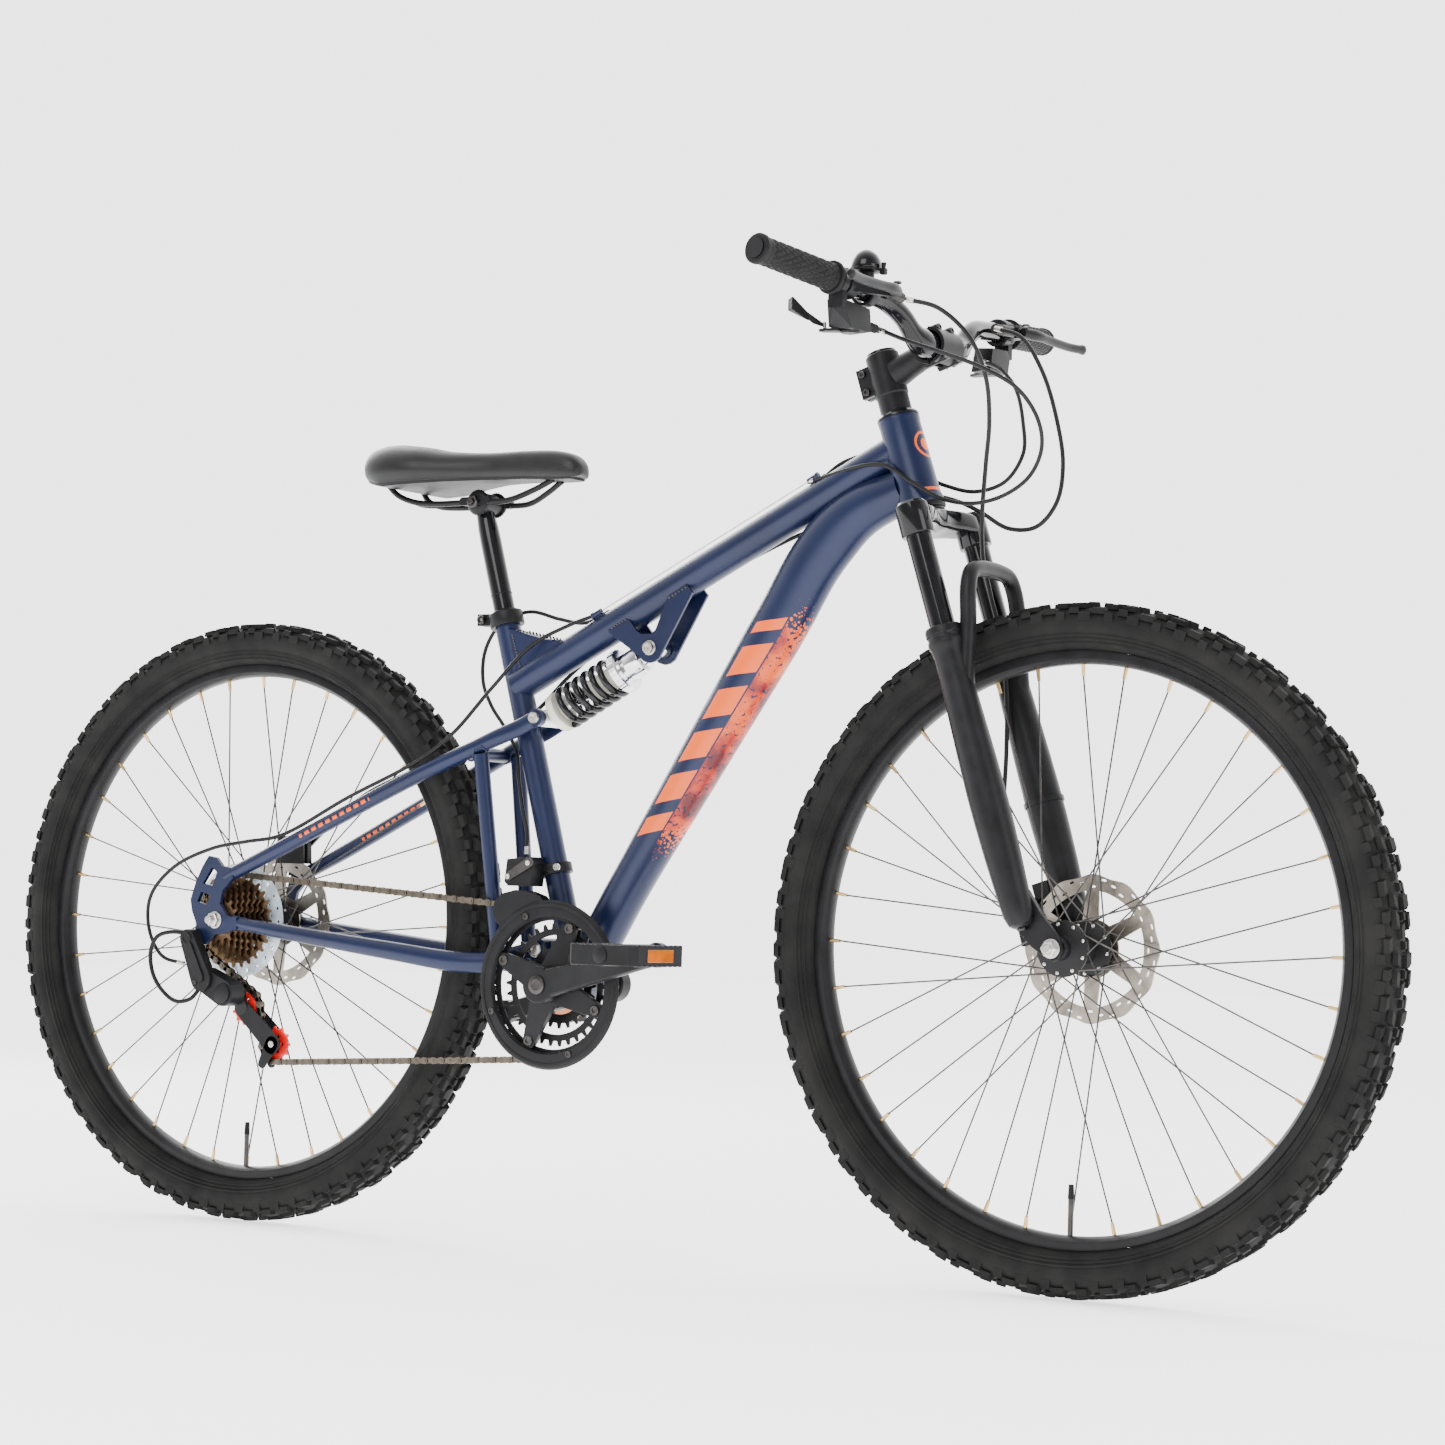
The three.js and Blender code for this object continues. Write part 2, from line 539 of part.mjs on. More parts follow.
const barPoint = (side, y) => {
  const half = BAR_HALF.findIndex(([limit]) => limit >= y);
  const [[y0, x0, z0], [y1, x1, z1]] = [BAR_HALF[half - 1], BAR_HALF[half]];
  const t = (y - y0) / (y1 - y0);
  return V(BAR_MIDDLE.x + x0 + (x1 - x0) * t, side * y, BAR_MIDDLE.z + z0 + (z1 - z0) * t);
};

const GRIP_INNER = 197;
const GRIP_OUTER = 326;
for (const [name, side] of [['grip_right', -1], ['grip_left', 1]]) {
  const inner = barPoint(side, GRIP_INNER);
  const end = barPoint(side, 321);
  const along = end.clone().sub(inner).normalize();
  const outer = end.clone().addScaledVector(along, GRIP_OUTER - 321 + 2);
  const bore = rod(inner.clone().addScaledVector(along, -20), end.clone().addScaledVector(along, 1), 11.7, 16);
  add(name, cut(rod(inner, outer, 15.5, 16), bore), rubber);
}

// Brake lever perch and thumb shifter, clamped to the bar inboard of each grip.
function controls(side) {
  const perch = barPoint(side, 172);
  const shift = barPoint(side, 187);
  const inboard = barPoint(side, 150);
  const clampAxis = shift.clone().sub(inboard).normalize();
  const ring = (at, half, radius) =>
    rod(at.clone().addScaledVector(clampAxis, -half), at.clone().addScaledVector(clampAxis, half), radius, 16);
  const arm = hull(...[-1, 1].flatMap((k) => [
    V(perch.x + 8, side * 160, perch.z + 9 * k), V(perch.x + 8, side * 181, perch.z + 9 * k),
    V(perch.x + 40, side * 140, perch.z - 6 + 7 * k), V(perch.x + 40, side * 152, perch.z - 6 + 7 * k),
  ]));
  const barrel = rod(V(perch.x + 34, side * 146, perch.z - 5), V(perch.x + 30, side * 104, perch.z - 7), 6, 10);
  const pod = hull(...[
    [-12, 188, -20], [8, 190, -20], [-20, 170, -46], [12, 176, -50], [-12, 140, -22], [12, 138, -24],
    [-14, 136, -50], [12, 134, -48],
  ].map(([dx, y, dz]) => V(shift.x + dx, side * y, shift.z + dz)));
  const neck = box(shift.x - 9, shift.x + 9, ...sorted(side * 182, side * 192), shift.z - 30, shift.z - 8);
  const shiftBarrel = rod(V(shift.x, side * 140, shift.z - 38), V(shift.x + 8, side * 116, shift.z - 42), 5, 10);
  const bore = rod(inboard.clone().addScaledVector(clampAxis, -30), shift.clone().addScaledVector(clampAxis, 40),
    11 + 0.5, 16);
  return cut(join(ring(perch, 8, 16), ring(shift, 5, 15), rod(perch, V(perch.x, side * 186, perch.z), 15, 12),
    arm, barrel, pod, neck, shiftBarrel), bore);
}

function brakeLever(side) {
  const perch = barPoint(side, 172);
  const at = (dx, y, dz) => V(perch.x + dx, side * y, perch.z + dz);
  return sweep([at(48, 146, -7), at(54, 165, -8), at(55, 195, -9), at(57, 235, -10), at(61, 268, -9)],
    [[6, 6], [5, 7], [4, 6.5], [4, 6], [4, 5]], 8);
}

function shiftPaddle(side) {
  const shift = barPoint(side, 187);
  const at = (dx, y, dz) => V(shift.x + dx, side * y, shift.z + dz);
  return hull(at(-26, 168, -42), at(-26, 168, -46), at(-31, 184, -36), at(-31, 184, -44), at(-44, 205, -18),
    at(-40, 212, -18), at(-44, 205, -32), at(-40, 212, -32), at(-50, 205, -20), at(-50, 205, -32));
}

for (const [hand, side] of [['right', -1], ['left', 1]]) {
  add('controls_' + hand, controls(side), resin);
  add('brake_lever_' + hand, brakeLever(side), satinBlack);
  add('shift_paddle_' + hand, shiftPaddle(side), resin);
}

const bellFoot = barPoint(-1, 136);
const bellLathe = upright([
  [0, 14], [9, 14], [9, 20], [17.5, 22], [17.5, 24], [16.5, 25], [15.5, 37], [10, 44], [0, 46],
], bellFoot.x, bellFoot.y, 20).translate(0, 0, bellFoot.z);
const bellBand = rod(bellFoot.clone().add(V(0, -7, 0)), bellFoot.clone().add(V(0, 7, 0)), 15.5, 16);
add('bell', cut(join(bellLathe, bellBand), rod(
  bellFoot.clone().add(V(1.4, 30, -1.2)), bellFoot.clone().add(V(-1.4, -30, 1.2)), 12.4, 16,
)), glossBlack);
add('bell_striker', join(
  box(bellFoot.x + 18.2, bellFoot.x + 25, bellFoot.y - 4, bellFoot.y + 4, bellFoot.z + 17, bellFoot.z + 24),
), steel);

// ---------------------------------------------------------------- swingarm
const railPath = (side) => [
  V(-536, side * 66, 365), V(-470, side * 65, 357), V(-300, side * 59, 338), V(-215, side * 52, 329),
  V(-172, side * 41, 330), V(-140, side * 32, 338), V(PIVOT_X - 4, side * 30.5, PIVOT_Z),
];
const RAIL_SIZES = [[8, 8], [9, 9], [11, 9], [12, 9], [12, 8], [12, 6], [11, 5]];
const pivotEars = [-1, 1].map((side) => {
  const [near, far] = [22.8 * side, 35 * side];
  return rodY(PIVOT_X, PIVOT_Z, Math.min(near, far), Math.max(near, far), 14, 16);
});
add('chainstays', join(
  sweep(railPath(-1), RAIL_SIZES, 8), sweep(railPath(1), RAIL_SIZES, 8), ...pivotEars,
  rodY(-172, 330, -40, 40, 8, 12), rodY(PIVOT_X, PIVOT_Z, -35.5, 35.5, 5.8, 12),
), navy);

const stayPath = (side) => [
  V(-556, side * 66, 421), V(-479, side * 63, 455), V(-280, side * 49, 547), V(-205, side * 37, 580),
  V(-178, side * 33, 592), V(-150, side * 30, 603), V(SHOCK_LOW_X, side * 28, SHOCK_LOW_Z),
];
const STAY_SIZES = [9, 9, 9.5, 9.5, [10, 8], [10, 5], [10, 4.5]];
const plateOutline = [
  [-548, 374], [-540, 372], [-533, 374], [-532, 358], [-552, 352], [-568, 350], [-580, 338], [-594, 336],
  [-602, 346], [-596, 362], [-607, 392], [-590, 432], [-580, 446], [-568, 444], [-558, 434], [-546, 432],
  [-540, 420], [-556, 404], [-560, 388],
];
const plateWindows = [
  [[-588, 412], [-574, 432], [-566, 426], [-572, 410]], [[-596, 390], [-590, 402], [-576, 398], [-580, 386]],
];
const rightDropout = plate(plateOutline, -73, -67.5, plateWindows);
const leftDropout = plate(plateOutline.filter(([, z]) => z > 349.5), 67.5, 73, plateWindows);
const strut = (side) => rod(V(-198, side * 37, 572), V(-169, side * 31, 343.5), 9, 12);
const shockEars = [-1, 1].map((side) => rodY(SHOCK_LOW_X, SHOCK_LOW_Z, side * 28 - 4, side * 28 + 4, 10.5, 14));
add('seatstays', cut(join(
  sweep(stayPath(-1), STAY_SIZES, 8), sweep(stayPath(1), STAY_SIZES, 8), rightDropout, leftDropout,
  strut(-1), strut(1), rodY(-214, 573, -42, 42, 8, 10), ...shockEars,
  rodY(SHOCK_LOW_X, SHOCK_LOW_Z, -34, 34, 3.6, 12),
), rodY(REAR_X, AXLE_Z, -90, 90, 5.3, 12),
box(-545, -520, -76, -52, 350, 379), box(-545, -520, 52, 76, 350, 379)), navy);

add('rear_axle', join(
  rodY(REAR_X, AXLE_Z, -88, 84, 4.9, 12),
  hexNut(REAR_X, AXLE_Z, -82, -73.4), hexNut(REAR_X, AXLE_Z, 73.4, 81),
), steel);
const larger = (size) => (Array.isArray(size) ? size.map((r) => r + GAP) : size + GAP);
const leftStay = sweep(stayPath(1), STAY_SIZES.map(larger), 8);
add('rear_caliper', cut(
  join(box(-571, -527, REAR_ROTOR_Y - 7, 60, 440, 474), box(-562, -545, 57, 66, 425, 452)),
  leftStay, rotorSlot(REAR_X, AXLE_Z, REAR_ROTOR_Y),
), satinBlack);
add('rear_brake_arm', link(-541, 462, 7, [60.4, 64], -512, 484, 4.5, [60.4, 64]), steel);

// ---------------------------------------------------------------- rear derailleur
const B_KNUCKLE = [-596, 345];
const P_KNUCKLE = [-547, 280];
add('rear_derailleur_body', join(
  rodY(...B_KNUCKLE, -90, -73.4, 11, 14), link(...B_KNUCKLE, 11, [-90, -76], -574, 296, 15, [-88, -75.5]),
  link(-574, 296, 14, [-86, -64], ...P_KNUCKLE, 16, [-78, -54]),
), resin);
const cagePlate = (y0, y1) => join(
  link(GUIDE.x, GUIDE.z, 11, [y0, y1], TENSION.x, TENSION.z, 13, [y0, y1]),
  link(TENSION.x, TENSION.z, 10, [y0, y1], -508, 196, 6, [y0, y1]),
);
const pulleyPins = [GUIDE, TENSION].map(({ x, z }) => rodY(x, z, COG_PLANE - 9, COG_PLANE + 9, 2.5, 10));
add('rear_derailleur_cage', join(
  cagePlate(COG_PLANE - 9.5, COG_PLANE - 7.6), cagePlate(COG_PLANE + 7.6, COG_PLANE + 9.5), ...pulleyPins,
  link(...P_KNUCKLE, 9, [-53.6, COG_PLANE - 7.6], GUIDE.x, GUIDE.z, 9, [-46, COG_PLANE - 7.6]),
), resin);
for (const [name, { x, z }] of [['guide_pulley', GUIDE], ['tension_pulley', TENSION]]) {
  add(name, turned([[2.9, COG_PLANE - 5], [8, COG_PLANE - 5], [17.2 - 0.8, COG_PLANE - 1.5],
    [16.4, COG_PLANE + 1.5], [8, COG_PLANE + 5], [2.9, COG_PLANE + 5]], x, z, 12), redResin);
}

// ---------------------------------------------------------------- crankset and pedals
const ring = (inner, outer, y) => turned(
  [[inner, y - 1], [outer, y - 1], [outer, y + 1], [inner, y + 1]], BB_X, BB_Z, 20);
const posts = (count, radius, y0, y1, size, offset = 0) => Array.from({ length: count }, (_, i) => {
  const [x, z] = polar(BB_X, BB_Z, radius, offset + i * 2 * Math.PI / count);
  return rodY(x, z, y0, y1, size, 6);
});
const RING_BED = CHAIN_RING - 5.4;
add('chainrings', join(
  ring(60, RING_BED, RING_PLANE), ring(40, 64.4, RING_PLANE + 7.5), ring(30, 44, RING_PLANE + 14.5),
  ...posts(4, 62.2, RING_PLANE - 1, RING_PLANE + 8, 2.4, 0.4),
  ...posts(4, 42, RING_PLANE + 7, RING_PLANE + 15, 2, 0.4),
  turned([[76, -59.9], [GUARD_RADIUS, -59.9], [GUARD_RADIUS - 3, -64], [79, -64]], BB_X, BB_Z, 24),
  ...posts(4, 77.6, -61, RING_PLANE, 2, 0.4),
), satinBlack);

const spiderArms = Array.from({ length: 4 }, (_, i) => {
  const angle = 0.4 + Math.PI / 4 + i * Math.PI / 2;
  const [x, z] = polar(BB_X, BB_Z, 70, angle);
  return link(BB_X, BB_Z, 20, [-62, -54], x, z, 9, [-59.4, -53.4], 10);
});
const crankEnd = (turn) => polar(BB_X, BB_Z, CRANK_LENGTH, CRANK_ANGLE + turn);
const [rightX, rightZ] = crankEnd(0);
const [leftX, leftZ] = crankEnd(Math.PI);
add('crank_right', join(
  link(BB_X, BB_Z, 21, [-84, -66], rightX, rightZ, 14, [-93, -80], 14), rodY(BB_X, BB_Z, -70, -52, 18, 16),
  ...spiderArms, rodY(BB_X, BB_Z, -54, 58, 8.4, 14), rodY(rightX, rightZ, -190, -90, 5, 12),
), resin);
add('crank_left', join(
  link(BB_X, BB_Z, 21, [58.4, 78], leftX, leftZ, 14, [80, 93], 14), rodY(leftX, leftZ, 90, 190, 5, 12),
), resin);

function pedal(x, z, side) {
  const [y0, y1] = sorted(side * 97, side * 199);
  const frame = box(x - 45, x + 45, y0, y1, z - 12, z + 12);
  const windows = [[x - 38, x - 12], [x + 12, x + 38]].map(
    ([a, b]) => box(a, b, y0 + 7, y1 - 7, z - 20, z + 20));
  return cut(frame, ...windows, rodY(x, z, ...sorted(side * 90, side * 193), 5.4, 12));
}
add('pedal_right', pedal(rightX, rightZ, -1), resin);
add('pedal_left', pedal(leftX, leftZ, 1), resin);

// ---------------------------------------------------------------- rear shock
const shockTop = V(SHOCK_TOP_X, 0, SHOCK_TOP_Z);
const shockLow = V(SHOCK_LOW_X, 0, SHOCK_LOW_Z);
const SHOCK_LENGTH = shockTop.distanceTo(shockLow);
const alongShock = (distance) => shockLow.clone().lerp(shockTop, distance / SHOCK_LENGTH);
add('shock_body', cut(join(
  rodY(SHOCK_TOP_X, SHOCK_TOP_Z, -12.5, 12.5, 10, 16), rod(alongShock(SHOCK_LENGTH - 5), alongShock(140), 11, 16),
  rod(alongShock(147), alongShock(118), 17, 18),
  rod(alongShock(122), alongShock(110), 26, 20), rod(alongShock(112), alongShock(68), 13, 16),
), rodY(SHOCK_TOP_X, SHOCK_TOP_Z, -20, 20, 4.4, 12), rod(alongShock(60), alongShock(114), 5.6, 12)), chrome);
add('shock_shaft', cut(join(
  rodY(SHOCK_LOW_X, SHOCK_LOW_Z, -22, 22, 10, 16), rod(alongShock(6), alongShock(14), 9, 12),
  rod(alongShock(13), alongShock(23), 24, 20),
  rod(alongShock(20), alongShock(76), 5, 12),
), rodY(SHOCK_LOW_X, SHOCK_LOW_Z, -30, 30, 6, 12)), chrome);

const COILS = 6.5;
const SPRING_LOW = 27.2;
const SPRING_TOP = 105.8;
const springPath = Array.from({ length: 66 }, (_, i) => {
  const t = i / 65;
  const angle = t * COILS * 2 * Math.PI;
  const axis = shockTop.clone().sub(shockLow).normalize();
  const up = V(0, 1, 0).cross(axis);
  return alongShock(SPRING_LOW + t * (SPRING_TOP - SPRING_LOW))
    .addScaledVector(up, 22 * Math.cos(angle)).addScaledVector(V(0, 1, 0), 22 * Math.sin(angle));
});
add('shock_spring', sweep(springPath, 3.7, 5), glossBlack);

// ---------------------------------------------------------------- cables
function cable(name, points, radius, steps) {
  const route = points.map(([x, y, z]) => V(x, y, z));
  add(name, tube(route, radius, 5, steps), resin);
}

cable('front_brake_cable', [
  [397, -101, 1056.5], [432, -94, 1046], [463, -80, 1015], [474, -62, 975], [468, -40, 930], [453, -18, 885],
  [436, 8, 832], [427, 30, 787], [433, 39, 747], [446, 40.5, 700], [454, 40.5, 640], [455, 41, 580],
  [452, 43, 520], [449, 50, 465], [454, 57, 430],
], 2.4, 28);
cable('rear_brake_cable', [
  [397, 101, 1056.5], [432, 95, 1044], [466, 82, 1003], [496, 62, 945], [513, 47, 890], [511, 37, 848],
  [490, 33, 823], [456, 33, 822], [421, 34, 841], [398, 34, 852], [376, 33, 859], [330, 33, 868], [285, 32.5, 862],
  [238, 31, 838], [190, 25, 822], [100, 22, 784], [-20, 22, 724], [-85, 22, 690], [-125, 24, 661],
  [-158, 29, 634], [-205, 41, 610], [-275, 50, 588], [-357, 56, 561], [-440, 60, 530], [-502, 62, 493],
], 2.4, 40);
cable('rear_shift_cable', [
  [373, -114, 1023], [410, -119, 1008], [452, -118, 993], [492, -105, 977], [524, -85, 956], [537, -62, 927],
  [535, -46, 898], [517, -36, 870], [486, -32, 851], [448, -31, 843], [409, -30, 849], [369, -29, 869],
  [326, -25, 891], [285, -17, 907], [258, -11, 901], [233, -8, 884], [210, -8, 872], [-40, -8, 746], [-62, -8, 735],
  [-95, -11, 724], [-140, -23, 700], [-185, -37, 650], [-232, -48, 596], [-276, -53, 565], [-375, -62, 519],
  [-471, -70, 472], [-515, -80, 464], [-563, -86, 455], [-622, -90, 430], [-655, -92, 394], [-656, -91, 354],
  [-636, -88, 322], [-604, -84, 314],
], 2.2, 46);
cable('front_shift_cable', [
  [373, 114, 1023], [400, 106, 1012], [430, 90, 985], [452, 68, 942], [462, 50, 905], [448, 36, 874],
  [415, 31, 864], [378, 29, 872], [336, 27, 890], [290, 17, 908], [258, 10, 901], [233, 8, 884], [210, 8, 872],
  [-40, 8, 746], [-62, 8, 735], [-90, 11, 728], [-130, 18, 734], [-177, 22, 744], [-218, 23, 732], [-240, 22, 700],
  [-240, 19, 662], [-222, 13, 632], [-196, 4, 607], [-172, -2, 576], [-162, -10, 545], [-148, -20, 510],
  [-137, -25, 482], [-135, -27, 456],
], 2.2, 40);

export default bike;
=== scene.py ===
import json
import math

import bmesh
import bpy
import numpy as np
from mathutils import Matrix, Vector
from mathutils.bvhtree import BVHTree
from mathutils.geometry import tessellate_polygon


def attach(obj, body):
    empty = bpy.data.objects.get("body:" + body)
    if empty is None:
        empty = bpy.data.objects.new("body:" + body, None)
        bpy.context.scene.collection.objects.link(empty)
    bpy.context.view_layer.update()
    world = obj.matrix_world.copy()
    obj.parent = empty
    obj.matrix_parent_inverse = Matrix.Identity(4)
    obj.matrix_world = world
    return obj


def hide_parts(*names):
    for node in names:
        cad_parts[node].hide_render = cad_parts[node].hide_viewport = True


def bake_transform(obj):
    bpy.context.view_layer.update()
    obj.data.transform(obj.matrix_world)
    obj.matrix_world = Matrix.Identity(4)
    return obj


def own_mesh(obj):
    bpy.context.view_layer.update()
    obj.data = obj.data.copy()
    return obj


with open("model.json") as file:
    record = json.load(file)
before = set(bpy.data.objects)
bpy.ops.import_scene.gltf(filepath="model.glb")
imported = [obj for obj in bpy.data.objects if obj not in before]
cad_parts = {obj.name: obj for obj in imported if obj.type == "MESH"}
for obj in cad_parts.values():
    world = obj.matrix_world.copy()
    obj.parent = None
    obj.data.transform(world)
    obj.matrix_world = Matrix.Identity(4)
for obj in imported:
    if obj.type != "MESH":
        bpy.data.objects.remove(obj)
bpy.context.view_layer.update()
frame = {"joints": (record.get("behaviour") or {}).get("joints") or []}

# Full-suspension mountain bike. Sizes are in millimetres in the frame's axes: +X forwards,
# +Y to the rider's left, +Z up. Shape.build turns them into metres.
MM = 0.001
TAU = 2 * math.pi
JOINTS = {joint["name"]: joint for joint in frame["joints"]}


def joint_at(name):
    return np.array(JOINTS[name]["pos_m"]) / MM


FRONT = joint_at("front_wheel_spin")
REAR = joint_at("rear_wheel_spin")
BB = joint_at("crank_spin")
PIVOT = joint_at("rear_swing")
SHOCK_TOP = joint_at("shock_pivot")
CLAMP = joint_at("saddle_tilt")
RIM_INNER = 302.0
LEG_X, LEG_Y = 20.0, 65.0
FRONT_ROTOR_Y, REAR_ROTOR_Y = 36.0, 49.0
RING_PLANE, COG_PLANE = -52.0, -36.0
SHOCK_LOW = np.array([-126.0, 0, 615.0])
CRANK_ANGLE = math.radians(13.3)
GUIDE = np.array([-543.0, COG_PLANE, 262.0])
TENSION = np.array([-494.0, COG_PLANE, 220.0])
COGS = [28, 24, 22, 20, 18, 16, 14]
PITCH = 12.7


def matrix_from(origin, x_axis, y_axis, z_axis):
    m = Matrix((x_axis, y_axis, z_axis)).transposed().to_4x4()
    m.translation = Vector(origin)
    return m


steer_up = Vector(JOINTS["steer"]["axis"])
STEERING = matrix_from(joint_at("steer"), (steer_up.z, 0, -steer_up.x), (0, 1, 0), steer_up)
seat_up = np.array(JOINTS["seatpost_slide"]["axis"])


def along_seat(distance):
    return BB * (1, 0, 1) + seat_up * distance


def on_steering(x, y, z):
    return np.array(STEERING @ Vector((x, y, z)))


# ---------------------------------------------------------------- camera, light and floor
def add_camera():
    yaw, pitch, roll = 0.570669, -0.0516736, 0.0276164
    look = Vector((-math.sin(yaw) * math.cos(pitch), math.cos(yaw) * math.cos(pitch), -math.sin(pitch)))
    right = look.cross(Vector((0, 0, 1))).normalized()
    up = right.cross(look)
    turned = math.cos(roll) * right + math.sin(roll) * up
    camera = bpy.data.objects.new("camera", bpy.data.cameras.new("camera"))
    camera.data.lens = 85.5
    camera.data.sensor_width = 36
    camera.data.clip_end = 100
    axes = Matrix((turned, look.cross(-turned), -look)).transposed().to_4x4()
    camera.matrix_world = Matrix.Translation((2.2104, -3.2671, 0.4092)) @ axes
    bpy.context.collection.objects.link(camera)
    bpy.context.scene.camera = camera


def add_area_light(name, place, target, size, power):
    light = bpy.data.objects.new(name, bpy.data.lights.new(name, "AREA"))
    light.data.energy = power
    light.data.size = size
    light.location = place
    light.rotation_euler = (Vector(target) - Vector(place)).to_track_quat("-Z", "Y").to_euler()
    bpy.context.collection.objects.link(light)


def add_stage():
    world = bpy.data.worlds.new("studio")
    bpy.context.scene.world = world
    world.use_nodes = True
    # A bright backdrop on the far side and a dimmer studio on the near side.
    nodes, links = world.node_tree.nodes, world.node_tree.links
    facing = nodes.new("ShaderNodeVectorMath")
    facing.operation = "DOT_PRODUCT"
    facing.inputs[1].default_value = (-0.54, 0.84, 0.25)
    links.new(nodes.new("ShaderNodeTexCoord").outputs["Generated"], facing.inputs[0])
    strength = nodes.new("ShaderNodeMapRange")
    for socket, value in (("From Min", -0.35), ("From Max", 0.75), ("To Min", 0.50), ("To Max", 3.4)):
        strength.inputs[socket].default_value = value
    links.new(facing.outputs["Value"], strength.inputs["Value"])
    nodes["Background"].inputs["Color"].default_value = (1, 1, 1, 1)
    links.new(strength.outputs[0], nodes["Background"].inputs["Strength"])
    add_area_light("key", (0.6, -3.6, 3.2), (0, 0, 0.5), 2.5, 105)
    add_area_light("rim", (-3.2, 1.8, 2.6), (0, 0, 0.6), 2.0, 90)
    add_area_light("side", (3.8, -0.6, 1.6), (0.2, 0, 0.5), 1.6, 35)
    bpy.ops.mesh.primitive_circle_add(vertices=96, radius=14, fill_type="NGON", location=(0, 0, -0.002))
    floor = bpy.context.object
    floor.name = "floor"
    paint = bpy.data.materials.new("floor")
    paint.use_nodes = True
    shader = paint.node_tree.nodes["Principled BSDF"]
    shader.inputs["Base Color"].default_value = (0.96, 0.96, 0.96, 1)
    shader.inputs["Roughness"].default_value = 0.9
    shader.inputs["Emission Color"].default_value = (1, 1, 1, 1)
    shader.inputs["Emission Strength"].default_value = 1.6
    floor.data.materials.append(paint)


add_camera()
add_stage()


# ---------------------------------------------------------------- materials
class Paint:
    """A Principled material with its own node tree and short ways to add nodes."""

    def __init__(self, name, colour, roughness, metallic=0.0, **sockets):
        self.material = bpy.data.materials.new(name)
        self.material.use_nodes = True
        self.tree = self.material.node_tree
        self.shader = self.tree.nodes["Principled BSDF"]
        self.shader.inputs["Base Color"].default_value = (*colour, 1)
        self.shader.inputs["Roughness"].default_value = roughness
        self.shader.inputs["Metallic"].default_value = metallic
        for socket, value in sockets.items():
            self.shader.inputs[socket.replace("_", " ").title().replace("Ior", "IOR")].default_value = value
        self.coords = self.tree.nodes.new("ShaderNodeTexCoord")

    def node(self, kind, **values):
        node = self.tree.nodes.new("ShaderNode" + kind)
        for key, value in values.items():
            if isinstance(value, bpy.types.NodeSocket):
                self.tree.links.new(value, node.inputs[key])
            elif key in node.inputs:
                node.inputs[key].default_value = value
            else:
                setattr(node, key, value)
        return node

    def math(self, operation, *values):
        node = self.tree.nodes.new("ShaderNodeMath")
        node.operation = operation
        for socket, value in zip(node.inputs, values):
            if isinstance(value, bpy.types.NodeSocket):
                self.tree.links.new(value, socket)
            else:
                socket.default_value = value
        return node.outputs[0]

    def noise(self, scale, detail=4, space="Object"):
        return self.node("TexNoise", Vector=self.coords.outputs[space], Scale=scale,
                         Detail=detail).outputs["Fac"]

    def ramp(self, value, stops):
        node = self.node("ValToRGB", Fac=value)
        points = node.color_ramp.elements
        for i, (place, colour) in enumerate(stops):
            point = points[i] if i < 2 else points.new(place)
            point.position = place
            point.color = (*colour, 1)
        return node.outputs["Color"]

    def mix(self, fac, a, b):
        node = self.tree.nodes.new("ShaderNodeMix")
        node.data_type = "RGBA"
        sockets = [node.inputs["Factor"], node.inputs[6], node.inputs[7]]
        for socket, value in zip(sockets, (fac, a, b)):
            if isinstance(value, bpy.types.NodeSocket):
                self.tree.links.new(value, socket)
            else:
                socket.default_value = (*value, 1) if isinstance(value, tuple) else value
        return node.outputs[2]

    def link(self, value, socket):
        self.tree.links.new(value, self.shader.inputs[socket])

    def mottle(self, dark, light, scale):
        self.link(self.ramp(self.noise(scale), [(0.3, dark), (0.7, light)]), "Base Color")
        return self

    def rough(self, low, high, scale):
        spread = self.node("MapRange", Value=self.noise(scale, 6))
        spread.inputs["To Min"].default_value = low
        spread.inputs["To Max"].default_value = high
        self.link(spread.outputs[0], "Roughness")
        return self

    def bump(self, height, strength, distance=0.0004):
        node = self.node("Bump", Height=height, Strength=strength, Distance=distance)
        self.link(node.outputs["Normal"], "Normal")
        return self

    def grain(self, scale, strength, distance=0.0003):
        return self.bump(self.noise(scale, 5), strength, distance)

    def between(self, value, low, high):
        return self.math("MULTIPLY", self.math("GREATER_THAN", value, low),
                         self.math("LESS_THAN", value, high))


NAVY = (0.004, 0.009, 0.040)
ORANGE = (0.88, 0.115, 0.0)
RED = (0.42, 0.018, 0.008)


def navy_paint(name):
    paint = Paint(name, NAVY, 0.36, 0.25, specular_ior_level=0.4, coat_weight=0.12, coat_roughness=0.25)
    paint.mottle((0.003, 0.0075, 0.034), (0.0055, 0.012, 0.052), 9)
    paint.rough(0.30, 0.42, 30)
    return paint.grain(1600, 0.05, 0.0001)


def split_uv(paint):
    uv = paint.node("SeparateXYZ", Vector=paint.coords.outputs["UV"])
    return uv.outputs[0], uv.outputs[1]


